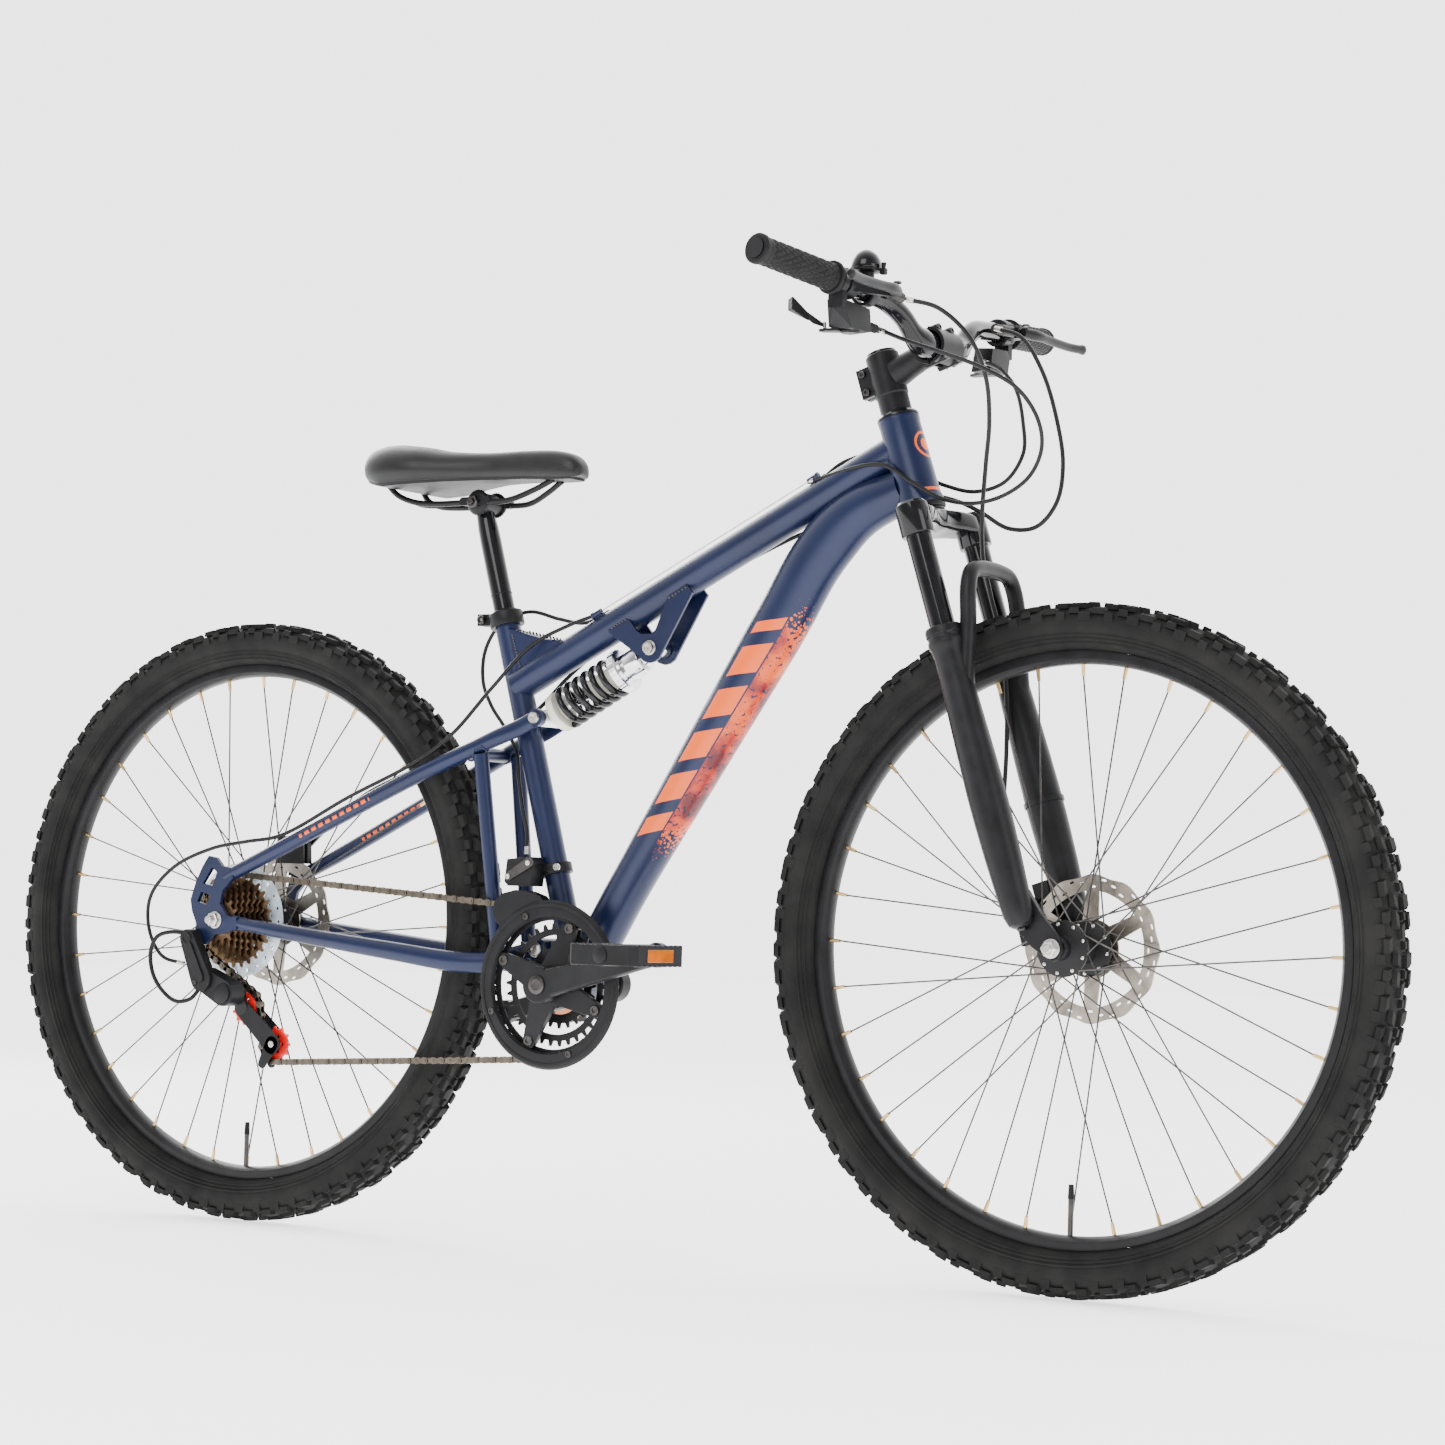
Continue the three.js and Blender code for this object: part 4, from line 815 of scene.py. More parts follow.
# ---------------------------------------------------------------- main frame
TOP_START, TOP_END = np.array((-173, 0, 654.5)), np.array((334, 0, 910))
DOWN_PATH = smooth_path([(-66, 0, 326), (-39, 0, 369), (-17, 0, 406), (86, 0, 565), (190, 0, 724),
                         (236, 0, 796),
                         (282, 0, 840), (345, 0, 866)], 60)


def down_sizes():
    t = np.linspace(0, 1, len(DOWN_PATH))
    height = 24 + 9 * np.clip((t - 0.2) / 0.45, 0, 1) - 9 * np.clip((t - 0.85) / 0.15, 0, None)
    return np.stack([height, 24 + 3 * np.sin(math.pi * t)], -1)


def add_head_tube():
    shape = Shape(STEERING)
    flare = [(26, -52), (26.4, -50), (26.2, -46), (24.6, -40), (24.2, -20), (23.4, 20), (22.9, 42),
             (23.3, 47),
             (23.5, 51), (23.2, 52)]
    shape.revolve([(17, -52), *flare, (17, 52)], (0, 0, 0), (0, 0, 1), "badge", 64)
    shape.build("head_tube_shell", "frame", ["head_tube"], slot="navy_paint", bevel=0.4)
    cups = Shape(STEERING)
    cups.revolve([(17, -58), (25, -58), (26.6, -56), (26.6, -52.2), (17, -52.2)], (0, 0, 0), (0, 0, 1),
                 "satin", 48)
    cups.revolve([(16, 52.2), (23.6, 52.2), (23.6, 54.5), (21, 57.5), (16, 57.5)], (0, 0, 0), (0, 0, 1),
                 "gloss", 48)
    cups.build("headset_cups", "frame", slot="satin_black", bevel=0.3)


def add_main_tubes():
    top = Shape()
    top.sweep(smooth_path([TOP_START, (TOP_START + TOP_END) / 2, TOP_END], 24), 19, "navy", 40)
    down = Shape()
    down.sweep(DOWN_PATH, down_sizes(), "graphics", 48)
    seat = Shape()
    seat.sweep([along_seat(d) for d in (2, 150, 300, 440, 450, 452)], [15, 15, 15, 15, 15, 14.6], "navy", 40)
    seat.revolve([(17.4, -34), (20, -34), (20.2, -33), (20.2, 33), (20, 34), (17.4, 34)], BB * (1, 0, 1),
                 (0, 1, 0),
                 "navy", 48)
    seat.revolve([(6.5, -22), (13, -22), (13.2, -21), (13.2, 21), (13, 22), (6.5, 22)], PIVOT * (1, 0, 1),
                 (0, 1, 0),
                 "navy", 36)
    head = Shape()
    head.rod(on_steering(0, 0, -52), on_steering(0, 0, 52), 24.4, "navy", 64, 23.2)
    toward = TOP_END - TOP_START
    weld(top, head, TOP_END - toward * 0.25, toward, (19, 19))
    weld(top, seat, TOP_START + toward * 0.25, -toward, (19, 19))
    weld(down, head, DOWN_PATH[-12], (63, 0, 26), (24.5, 24.5), 2.2, 72)
    shell = Shape()
    shell.rod_y(BB[0], BB[2], -36, 36, 20.2, "navy", 48)
    weld(down, shell, DOWN_PATH[6], DOWN_PATH[0] - DOWN_PATH[6], (24, 23.4), 2.2, 72)
    weld(seat, shell, along_seat(90), -seat_up, (15, 15))
    weld(top, down, TOP_START + toward * 0.72, toward, (19, 19), 1.6)
    gusset = Shape()
    gusset.plate([(-184, 724), (-160, 716), (-130, 708.5), (-99, 706.5), (-78, 710), (-72, 705), (-120, 676),
                  (-164, 655)], -13, 13, "navy")
    gusset.build("seat_gusset", "frame", slot="navy_paint", bevel=3.5)
    dots = Shape()
    for side in (-1, 1):
        for a, b in (((-176, 716), (-160, 668)), ((-168, 660), (-96, 697)), ((-172, 720), (-102, 705))):
            for t in np.linspace(0.04, 0.96, 14):
                x, z = a[0] + (b[0] - a[0]) * t, a[1] + (b[1] - a[1]) * t
                dots.revolve([(1.5, 0), (1.3, 0.7), (0.3, 1.1)], (x, side * 12.8, z), (0, side, 0),
                             "dark_steel", 8)
    dots.build("gusset_weld_dots", "frame", slot="steel")
    top.build("top_tube_shell", "frame", ["top_tube"], slot="navy_paint")
    down.build("down_tube_shell", "frame", ["down_tube"], slot="navy_paint")
    seat.build("seat_tube_shell", "frame", ["seat_tube"], slot="navy_paint")


def add_shock_bracket():
    shape = Shape()
    outline = [(-38, 719), (-12, 733), (4, 715), (10, 711), (24, 711), (30, 716), (46, 754), (70, 767),
               (79, 757),
               (40, 690), (36, 683), (30, 679), (22.7, 677.5), (14, 680), (8, 686), (-34, 713)]
    for y0, y1 in ((-18, -14), (14, 18)):
        shape.plate(outline, y0, y1, "navy")
    for side in (-1, 1):
        c = SHOCK_TOP * (1, 0, 1) + (0, side * 18, 0)
        shape.revolve([(8.6, 0), (8.6, 1.2), (6, 1.4)], c, (0, side, 0), "steel", 24)
        shape.bolt(c + (0, side * 1.2, 0), (0, side, 0), 7, 5, "steel", hexagon=side > 0)
    shape.rod_y(SHOCK_TOP[0], SHOCK_TOP[2], -18, 18, 4, "steel", 16)
    for side in (-1, 1):
        for a, b in (((-30, 719), (-12, 728)), ((48, 752), (70, 763))):
            for t in np.linspace(0, 1, 6):
                x, z = a[0] + (b[0] - a[0]) * t, a[1] + (b[1] - a[1]) * t
                shape.revolve([(1.6, 0), (1.4, 0.8), (0.3, 1.2)], (x, side * 18, z), (0, side, 0),
                              "dark_steel", 8)
    shape.build("shock_mount", "frame", ["shock_bracket"], slot="navy_paint", bevel=0.6)


def add_seat_clamp():
    base = along_seat(434)
    shape = Shape()
    shape.revolve([(15.3, 0), (20, 0), (20.6, 1.5), (20.6, 15.5), (20, 17), (15.3, 17)], base, seat_up,
                  "satin", 48)
    back = base + np.array((-27, 0, 0))
    shape.box(back - (12, 9, -1), back + (12, -2, 15), "satin")
    shape.box(back - (12, -2, -1), back + (12, 9, 15), "satin")
    shape.rod(back + (-4, -12, 8), back + (-4, 13, 8), 3, "steel", 14)
    shape.bolt(back + (-4, -10, 8), (0, -1, 0), 5.2, 4.5, "dark_steel")
    shape.bolt(back + (-4, 9, 8), (0, 1, 0), 6, 5, "dark_steel", hexagon=True)
    shape.revolve([(13.5, 0), (15.6, 0), (15.8, 2), (13.5, 3)], along_seat(451), seat_up, "resin", 40)
    shape.build("seat_collar", "frame", ["seat_clamp"], slot="satin_black", bevel=0.8)


def add_bottom_bracket():
    shape = Shape()
    for side in (-1, 1):
        profile = [(9, 33.5), (19.6, 34.2), (19.6, 37), (17, 38), (11, 38.4), (9, 37)]
        shape.revolve(profile, BB * (1, 0, 1), (0, side, 0), "dark_steel", 40)
    shape.build("bottom_bracket_cups", "frame", ["bottom_bracket"], slot="steel", bevel=0.3)


def cable_guides():
    """Small stops on the tubes where bare wire leaves its sleeve."""
    shape = Shape()
    lift = np.array((-0.45, 0, 0.893))
    slope = np.array((0.893, 0, 0.45))
    for y in (-8, 8):
        for x, turn in ((230, 1), (-58, -1)):
            c = np.array((x, y, 654.5 + (x + 173) * 0.504 + 24.2))
            shape.rod(c - slope * 7, c + slope * 7, 3.6, "navy", 18)
            shape.revolve([(3.9, 0), (4.4, 1.2), (4.4, 3.2), (3.9, 4)], c + slope * turn * 4, slope * turn,
                          "navy", 18)
            shape.rings([[c + slope * a + (0, b, 0) - lift * h for a, b in
                          ((-5, -1.6), (5, -1.6), (5, 1.6), (-5, 1.6))] for h in (1, 7.5)], "navy")
    shape.build("cable_stops", "frame", slot="navy_paint", bevel=0.4)


def add_frame():
    add_head_tube()
    add_main_tubes()
    add_shock_bracket()
    add_seat_clamp()
    add_bottom_bracket()
    cable_guides()


# ---------------------------------------------------------------- seat
def add_seatpost():
    shape = Shape()
    shape.sweep([along_seat(d) for d in (330, 540, 556, 570, 580)], [12.6, 12.6, 12.2, 11, 10.6], "gloss", 40)
    shape.revolve([(12.9, 0), (12.9, 1.2)], along_seat(473), seat_up, "satin", 40)
    shape.build("seatpost_tube", "seatpost", ["seatpost"], slot="gloss_black")
    clamp = Shape()
    x, z = CLAMP[0], CLAMP[2]
    clamp.rod_y(x, z, -20, 20, 12.2, "satin", 30)
    for side in (-1, 1):
        clamp.revolve([(15, 0), (15, 3), (13.5, 5), (10, 7)], (x, side * 16, z), (0, side, 0), "satin", 30)
        for k in range(24):
            c = polar((x, 0, z), 14.6, k * TAU / 24)
            clamp.rod_y(c[0], c[1], side * 16.5, side * 18.5, 1.1, "satin", 6)
        clamp.bolt((x, side * 27, z), (0, side, 0), 8, 5, "dark_steel", hexagon=True)
        outer = tuple(sorted((side * 18, side * 26.5)))
        clamp.link((x - 17, z + 1), 5, outer, (x + 17, z + 1), 5, outer, "satin")
    for side in (-1, 1):
        route = [(-352, 34 * side, 897), (-340, 30 * side, 884), (-318, 26 * side, 875),
                 (-290, 23 * side, 872),
                 (-228, 22 * side, 872), (-182, 21 * side, 872.5), (-152, 15 * side, 883),
                 (-126, 9 * side, 896)]
        clamp.tube(route, 3.5, "satin", 14, 60)
    clamp.tube([(-318, 26, 875), (-322, 12, 874), (-323, 0, 873.5), (-322, -12, 874), (-318, -26, 875)], 2.6,
               "satin", 10, 20)
    clamp.build("saddle_rail_clamp", "saddle", ["saddle_rails"], slot="satin_black", bevel=0.4)


SADDLE = [(-374, 30, 931, 913), (-372, 48, 935, 905), (-364, 66, 941, 897), (-340, 77, 945, 891),
          (-300, 74.5, 941, 893), (-262, 56, 934.5, 896), (-215, 34, 932, 898), (-165, 25.5, 932.5, 898),
          (-120, 22.5, 930, 896), (-98, 18.5, 923.5, 896), (-89, 12, 914, 898), (-87, 5, 909, 902)]


def add_saddle():
    """Moulded saddle: a crowned vinyl cover over foam, wrapped under a plastic base."""
    section = [(0, 1.0), (0.3, 0.995), (0.6, 0.95), (0.84, 0.8), (0.97, 0.55), (1, 0.32), (0.96, 0.12),
               (0.86, 0.0),
               (0.6, 0.04), (0.3, 0.06)]
    ring = section + [(-a, b) for a, b in section[:0:-1]]
    keys = np.array(SADDLE, float)
    stations = smooth_path([tuple(k[:3]) for k in keys], 46)
    under = np.interp(stations[:, 0], keys[:, 0], keys[:, 3])
    rings = []
    for (x, half, top), low in zip(stations, under):
        dish = 1.6 * math.exp(-((x + 235) / 70) ** 2)
        rings.append([(x, a * half, low + b * (top - low) - dish * math.exp(-(a / 0.25) ** 2) * (b > 0.5))
                      for a, b in ring])
    shape = Shape()
    shape.rings(rings, "vinyl")
    cover = shape.build("saddle_top", "saddle", ["saddle_cover"], slot="vinyl", angle=80, subdivide=1)
    base = Shape()
    lower = [[(x, a * half * 0.9, low + 4 + b) for a, b in ((-1, 0), (1, 0), (0.92, -5), (-0.92, -5))]
             for (x, half, top), low in zip(stations[3:-3], under[3:-3])]
    base.rings(lower, "resin")
    base.build("saddle_base", "saddle", slot="resin", bevel=0.6)


# ---------------------------------------------------------------- fork
def add_fork():
    crown = Shape(STEERING)
    crown.revolve([(23, -61.5), (24.5, -60.5), (24.5, -58.6), (14.3, -58.4), (14.3, 60), (14.3, 124),
                   (12, 124.6),
                   (0.1, 124.6)], (0, 0, 0), (0, 0, 1), "gloss", 48)
    arch = smooth_path([(21, -61, -76), (20, -52, -76), (13, -34, -73.5), (5, -17, -72), (2, 0, -72),
                        (5, 17, -72),
                        (13, 34, -73.5), (20, 52, -76), (21, 61, -76)], 34)
    spread = np.abs(arch[:, 1:2])
    sizes = np.hstack([25 - 0.19 * spread, 12.5 - 0.02 * spread])
    ring = np.linspace(0, TAU, 29)[:-1]
    section = [(np.sign(math.cos(a)) * abs(math.cos(a)) ** 0.45,
                np.sign(math.sin(a)) * abs(math.sin(a)) ** 0.45)
               for a in ring]
    crown.rings([[(c[0] + u * s[0], c[1], c[2] + v * s[1]) for u, v in section] for c,
                 s in zip(arch, sizes)], "gloss")
    for y in (-LEG_Y, LEG_Y):
        crown.revolve([(0.1, -60.4), (10, -60.6), (15.5, -62), (18, -65), (18.2, -98), (17.4, -99.5),
                       (14, -99.8)],
                      (LEG_X, y, 0), (0, 0, 1), "gloss", 40)
        crown.revolve([(6.5, -60.6), (6.5, -59.6), (3, -59.4), (2.9, -60.4)], (LEG_X, y, 0), (0, 0, 1),
                      "satin", 6)
        crown.revolve([(14, -276), (14, -99), (0.1, -99)], (LEG_X, y, 0), (0, 0, 1), "gloss", 48)
    crown.build("fork_crown_shell", "steering", ["fork_crown"], slot="gloss_black", bevel=0.5)

    lower = Shape(STEERING)
    leg = [(14.6, -204), (17, -203), (19.4, -204.5), (20.4, -208), (20.4, -213), (19.2, -214.5), (19.2, -218),
           (20.4, -219.5), (20.4, -225), (18.6, -229), (17.4, -238), (17.6, -262), (18.8, -298), (20.2, -345),
           (21, -390), (20.8, -420), (19.6, -462), (17.6, -505), (16.2, -524), (13, -534), (8, -537.6),
           (0.1, -538)]
    for y in (-LEG_Y, LEG_Y):
        lower.revolve([(14.6, -214), *leg], (LEG_X, y, 0), (0, 0, 1), "satin", 48)
        lower.revolve([(5.5, -537.8), (5.5, -541), (2.5, -541), (2.4, -538)], (LEG_X, y, 0), (0, 0, 1),
                      "dark_steel", 6)
    arch = smooth_path([(24, -64, -280), (36, -61, -244), (48, -58, -205), (56, -53, -168), (59, -43, -152),
                        (59.5, -22, -147), (59.5, 0, -146), (59.5, 22, -147), (59, 43, -152), (56, 53, -168),
                        (48, 58, -205), (36, 61, -244), (24, 64, -280)], 70)
    end = np.minimum(np.arange(70), np.arange(70)[::-1]) / 69
    lower.sweep(arch, 9 + 2.5 * np.exp(-(end / 0.07) ** 2), "satin", 24)
    for side in (-1, 1):
        y0, y1 = sorted((side * 51, side * 59))
        lower.plate([(4, -500), (34, -500), (42, -528), (50, -548), (55, -560), (54, -574), (47, -581),
                     (40, -581),
                     (38.5, -573), (31, -571), (22, -560), (8, -534)], y0, y1, "satin")
    lower.box((-16, 55, -552), (4, 60, -478), "satin")
    lower.build("fork_lower_legs", "fork_lower", ["fork_lowers"], slot="satin_black", bevel=1.0)

    caliper = Shape(STEERING)
    caliper.box((-33, 29.5, -543), (-1, 35, -497), "satin", 0.94)
    caliper.box((-33, 38.6, -543), (-1, 54.4, -497), "satin", 0.94)
    caliper.box((-34, 30, -505), (-24, 54, -497), "satin")
    for z in (-536, -504):
        caliper.bolt((-5, 54.4, z), (0, 1, 0), 4.5, 4.5, "dark_steel")
    caliper.rod((-18, 54, -520), (-18, 55.2, -520), 10, "dark_steel", 24)
    caliper.build("front_caliper_body", "fork_lower", ["front_caliper"], slot="satin_black", bevel=1.2)
    arm = Shape()
    pivot = on_steering(-26, 0, -520)
    arm.link((pivot[0], pivot[2]), 8, (55.3, 58.6), (pivot[0] - 26, pivot[2] + 26), 5, (55.3, 58.6),
             "dark_steel")
    arm.bolt((pivot[0], 58.6, pivot[2]), (0, 1, 0), 5, 4, "steel", hexagon=True)
    arm.bolt((pivot[0] - 26, 58.6, pivot[2] + 26), (0, 1, 0), 3.4, 3.2, "steel")
    arm.build("front_brake_lever_arm", "front_brake_arm", ["front_brake_arm"], slot="steel", bevel=0.4)


# ---------------------------------------------------------------- cockpit
STEM_X, BAR_Z = 68.7, 110.0
BAR_MIDDLE = on_steering(STEM_X, 0, BAR_Z)
BAR_HALF = np.array([(8, 0, 0), (32, 0, 0), (50, -1, 6), (74, -4, 24), (98, -9, 35), (130, -13, 40),
                     (196, -19, 46), (321, -38, 58)], float)


def bar_point(side, y):
    x, z = (np.interp(y, BAR_HALF[:, 0], BAR_HALF[:, k]) for k in (1, 2))
    return BAR_MIDDLE * (1, 0, 1) + (x, side * y, z)


def add_stem():
    shape = Shape(STEERING)
    shape.revolve([(14.6, 52.4), (21, 52.4), (20.2, 57.6), (17.6, 59), (17.6, 78.6), (18.7, 80), (18.7, 127),
                   (17.6, 128.4), (14.6, 128.4)], (0, 0, 0), (0, 0, 1), "satin", 48, True)
    shape.sweep([(12, 0, 102), (30, 0, 105), (46, 0, 107.5), (60, 0, 109.6)],
                [(17.5, 17.5), (15.5, 15.5), (14.5, 14.8), (16.5, 17.5)], "satin", 32)
    for low, high in ((0.06 * math.pi, 0.94 * math.pi), (1.06 * math.pi, 1.94 * math.pi)):
        ring = [[(STEM_X + r * math.sin(t + 0.1), y, BAR_Z + r * math.cos(t + 0.1))
                 for t in np.linspace(low, high, 18)] for y,
                 r in ((-23, 16.6), (-23, 20.6), (23, 20.6), (23, 16.6))]
        shape.rings(ring, "satin", cyclic=True, caps=False)
        for end in (0, 17):
            cap = [row[end] for row in ring]
            shape.add(cap, [(0, 1, 2, 3)], "satin")
    for z in (-17, 17):
        for y in (-14, 14):
            shape.rod((STEM_X - 12, y, BAR_Z + z), (STEM_X + 13, y, BAR_Z + z), 4.4, "satin", 16)
            shape.bolt((STEM_X + 13, y, BAR_Z + z), (1, 0, 0), 4.2, 3.4, "dark_steel")
    for z in (92, 113):
        shape.bolt((-24, -9, z), (0, -1, 0), 4.2, 3.6, "dark_steel")
    shape.box((-32, -9, 86), (-14, -1.2, 120), "satin")
    shape.box((-32, 1.2, 86), (-14, 9, 120), "satin")
    shape.revolve([(16.5, 128.6), (16.5, 131), (14, 132), (0.1, 132)], (0, 0, 0), (0, 0, 1), "gloss", 36)
    shape.bolt((0, 0, 132), (0, 0, 1), 4.4, 2.2, "dark_steel")
    shape.build("stem_body", "steering", ["stem"], slot="satin_black", bevel=0.9)


def add_bar():
    shape = Shape()
    half = [bar_point(1, y) for y in (0.5, *BAR_HALF[:, 0])]
    path = smooth_path([p * (1, -1, 1) for p in half[:0:-1]] + [half[0] * (1, 0, 1)] + half[1:], 110)
    across = np.abs(path[:, 1])
    radius = np.interp(across, [0, 40, 58, 330], [15.2, 15.2, 11, 11])
    shape.sweep(path, radius, "gloss", 28)
    shape.build("riser_bar", "steering", ["handlebar"], slot="gloss_black")


def add_grip(hand, side):
    inner, outer = bar_point(side, 197), bar_point(side, 321)
    along = (outer - inner) / np.linalg.norm(outer - inner)
    shape = Shape()
    steps = 96
    path = [inner + along * (118.0 * i / (steps - 1)) for i in range(steps)]

    def knurl(i, angle):
        a = np.abs(np.sin(angle * 7 + i * 0.30))
        b = np.abs(np.sin(angle * 7 - i * 0.30))
        plain = np.abs(i - steps / 2 + 0.5) > steps / 2 - 6
        return np.where(plain, 1.0, 0.90 + 0.10 * np.minimum(1, np.minimum(a, b) * 1.5))

    shape.sweep(path, 15.2, "rubber", 72, wave=knurl)
    shape.revolve([(12, -1), (17.6, -1), (18.2, 0), (18.2, 2.2), (17.4, 3.4), (12, 3.4)], inner, along,
                  "rubber", 40)
    end = inner + along * 117
    shape.revolve([(12, 0), (15.6, 0), (16.4, 1.4), (16.4, 5.2), (15, 6.8), (6, 7.4), (5.4, 5), (0.1, 4.6)],
                  end,
                  along, "rubber", 40)
    shape.build("grip_sleeve_" + hand, "steering", ["grip_" + hand], slot="grip_rubber")


def mirrored(points, side):
    return [(x, side * y, z) for x, y, z in points]


def hull_of(shape, points, paint):
    """Closed convex skin round the points."""
    work = bmesh.new()
    for p in points:
        work.verts.new(p)
    found = bmesh.ops.convex_hull(work, input=work.verts)
    loose = [v for v in found["geom_interior"] + found["geom_unused"] if isinstance(v, bmesh.types.BMVert)]
    bmesh.ops.delete(work, geom=list(set(loose)), context="VERTS")
    work.verts.index_update()
    shape.add([tuple(v.co) for v in work.verts], [tuple(v.index for v in f.verts) for f in work.faces], paint)
    work.free()


def add_controls(hand, side):
    perch, shift, inboard = bar_point(side, 172), bar_point(side, 187), bar_point(side, 150)
    along = (shift - inboard) / np.linalg.norm(shift - inboard)
    shape = Shape()
    for at, half, radius in ((perch, 8, 16), (shift, 5, 15)):
        profile = [(11.2, -half), (radius - 0.8, -half), (radius, -half + 1), (radius, half - 1),
                   (radius - 0.8, half),
                   (11.2, half)]
        shape.revolve(profile, at, along, "satin", 32, True)
    arm = [perch + (8, 0, 9 * k) + (0, side * d, 0) for k in (-1, 1) for d in (-12, 9)]
    arm += [np.array((perch[0] + 42, side * y, perch[2] - 6 + 7 * k)) for k in (-1, 1) for y in (139, 153)]
    hull_of(shape, arm, "satin")
    shape.bolt((perch[0] + 48, side * 146, perch[2] + 0.5), (0, 0, 1), 4.5, 2.6, "dark_steel")
    shape.rod((perch[0] + 34, side * 146, perch[2] - 5), (perch[0] + 31, side * 118, perch[2] - 6.6), 6.2,
              "satin", 20)
    for k in range(4):
        y = 117 - 3 * k
        shape.rod((perch[0] + 31 - k * 0.3, side * y, perch[2] - 6.7),
                  (perch[0] + 31 - k * 0.3, side * (y - 1.8),
                  perch[2] - 6.8), 6, "dark_steel", 12)
    pod = [(-12, 188, -20), (8, 190, -20), (-20, 170, -46), (12, 176, -50), (-12, 140, -22), (12, 138, -24),
           (-14, 136, -50), (12, 134, -48), (0, 132, -36), (0, 190, -32), (0, 150, -52)]
    hull_of(shape, [shift * (1, 0, 1) + (dx, side * y, dz) for dx, y, dz in pod], "resin")
    low, high = sorted((side * 181, side * 191))
    shape.box((shift[0] - 9, low, shift[2] - 30), (shift[0] + 9, high, shift[2] - 8), "resin")
    shape.rod((shift[0], side * 140, shift[2] - 38), (shift[0] + 8, side * 118, shift[2] - 42), 5, "resin",
              18)
    shape.rod((shift[0] + 7.5, side * 119, shift[2] - 41.8), (shift[0] + 9, side * 113, shift[2] - 42.6), 3.6,
              "dark_steel", 14)
    dial = [(10.5, 0), (10.5, 1.6), (9, 2.8), (0.1, 3.2)]
    shape.revolve(dial, (shift[0] - 1, side * 158, shift[2] - 49.5), (0, 0, -1), "satin", 28)
    hull_of(shape, [shift * (1, 0, 1) + (dx, side * y, dz) for dx, y in
                    ((-31, 164), (-31, 172), (-21, 174), (-8, 170), (-8, 152)) for dz in (-50.5, -47.6)],
                    "resin")
    shape.rod(shift * (1, 0, 1) + (-26, side * 168, -47), shift * (1, 0, 1) + (-26, side * 168, -40), 2,
              "steel", 12)
    shape.build("brake_and_shift_mount_" + hand, "steering", ["controls_" + hand], slot="resin", bevel=1.6)

    lever = Shape()
    route = [perch * (1, 0, 1) + (dx, side * y, dz) for dx, y, dz in
             ((46, 143, -7), (50, 153, -7.4), (54, 167, -8), (55, 195, -9), (57, 235, -10), (60, 258, -9.4),
              (61, 268, -9))]
    path = smooth_path(route, 40)
    t = np.linspace(0, 1, 40)
    flat = np.interp(t, [0, 0.12, 0.3, 0.9, 0.97, 1], [5.6, 6.5, 5.2, 5.0, 6.2, 3.2])
    thick = np.interp(t, [0, 0.12, 0.3, 0.9, 0.97, 1], [6, 6.4, 4.6, 4.0, 4.6, 2.6])
    lever.sweep(path, np.stack([flat, thick], -1), "satin", 20)
    lever.build("brake_lever_blade_" + hand, "brake_lever_" + hand, ["brake_lever_" + hand],
                slot="satin_black")

    paddle = Shape()
    knuckle = [(-26, 168, -42), (-26, 168, -46), (-31, 184, -36), (-31, 184, -44), (-36, 192, -30),
               (-36, 192, -38)]
    hull_of(paddle, [shift * (1, 0, 1) + (dx, side * y, dz) for dx, y, dz in knuckle], "resin")
    pad = [(-44, 203, -18), (-40, 212, -18), (-44, 203, -32), (-40, 212, -32), (-50, 205, -20),
           (-50, 205, -32),
           (-33, 188, -34), (-33, 188, -42)]
    hull_of(paddle, [shift * (1, 0, 1) + (dx, side * y, dz) for dx, y, dz in pad], "resin")
    paddle.build("thumb_paddle_" + hand, "shift_paddle_" + hand, ["shift_paddle_" + hand], slot="resin",
                 bevel=1.2)


def add_bell():
    foot = bar_point(-1, 136)
    shape = Shape()
    shape.revolve([(12.4, -7), (15.4, -7), (15.8, -6), (15.8, 6), (15.4, 7), (12.4, 7)], foot, (0, 1, 0),
                  "satin", 32, True)
    shape.revolve([(9, 13), (9, 20), (17.2, 21.6), (17.6, 22.4), (17.4, 24), (16.4, 25)], foot, (0, 0, 1),
                  "satin", 32)
    dome = [(16.6, 24.6), (17.0, 25.4), (16.6, 29), (15.2, 34), (12.6, 38.6), (9, 42), (5, 44.4),
            (2.4, 45.2), (0.1, 45.4)]
    shape.revolve(dome, foot, (0, 0, 1), "gloss", 44)
    shape.build("bell_dome", "steering", ["bell"], slot="gloss_black", bevel=0.3)
    striker = Shape()
    striker.box(foot + (18.2, -3.4, 17), foot + (24.6, 3.4, 24), "resin")
    striker.rod(foot + (21.4, 0, 23), foot + (21.6, 0, 30), 2, "resin", 14, 3.0)
    striker.build("bell_thumb_striker", "bell_striker", ["bell_striker"], slot="steel", bevel=0.8)


def add_cockpit():
    add_stem()
    add_bar()
    for hand, side in (("right", -1), ("left", 1)):
        add_grip(hand, side)
        add_controls(hand, side)
    add_bell()


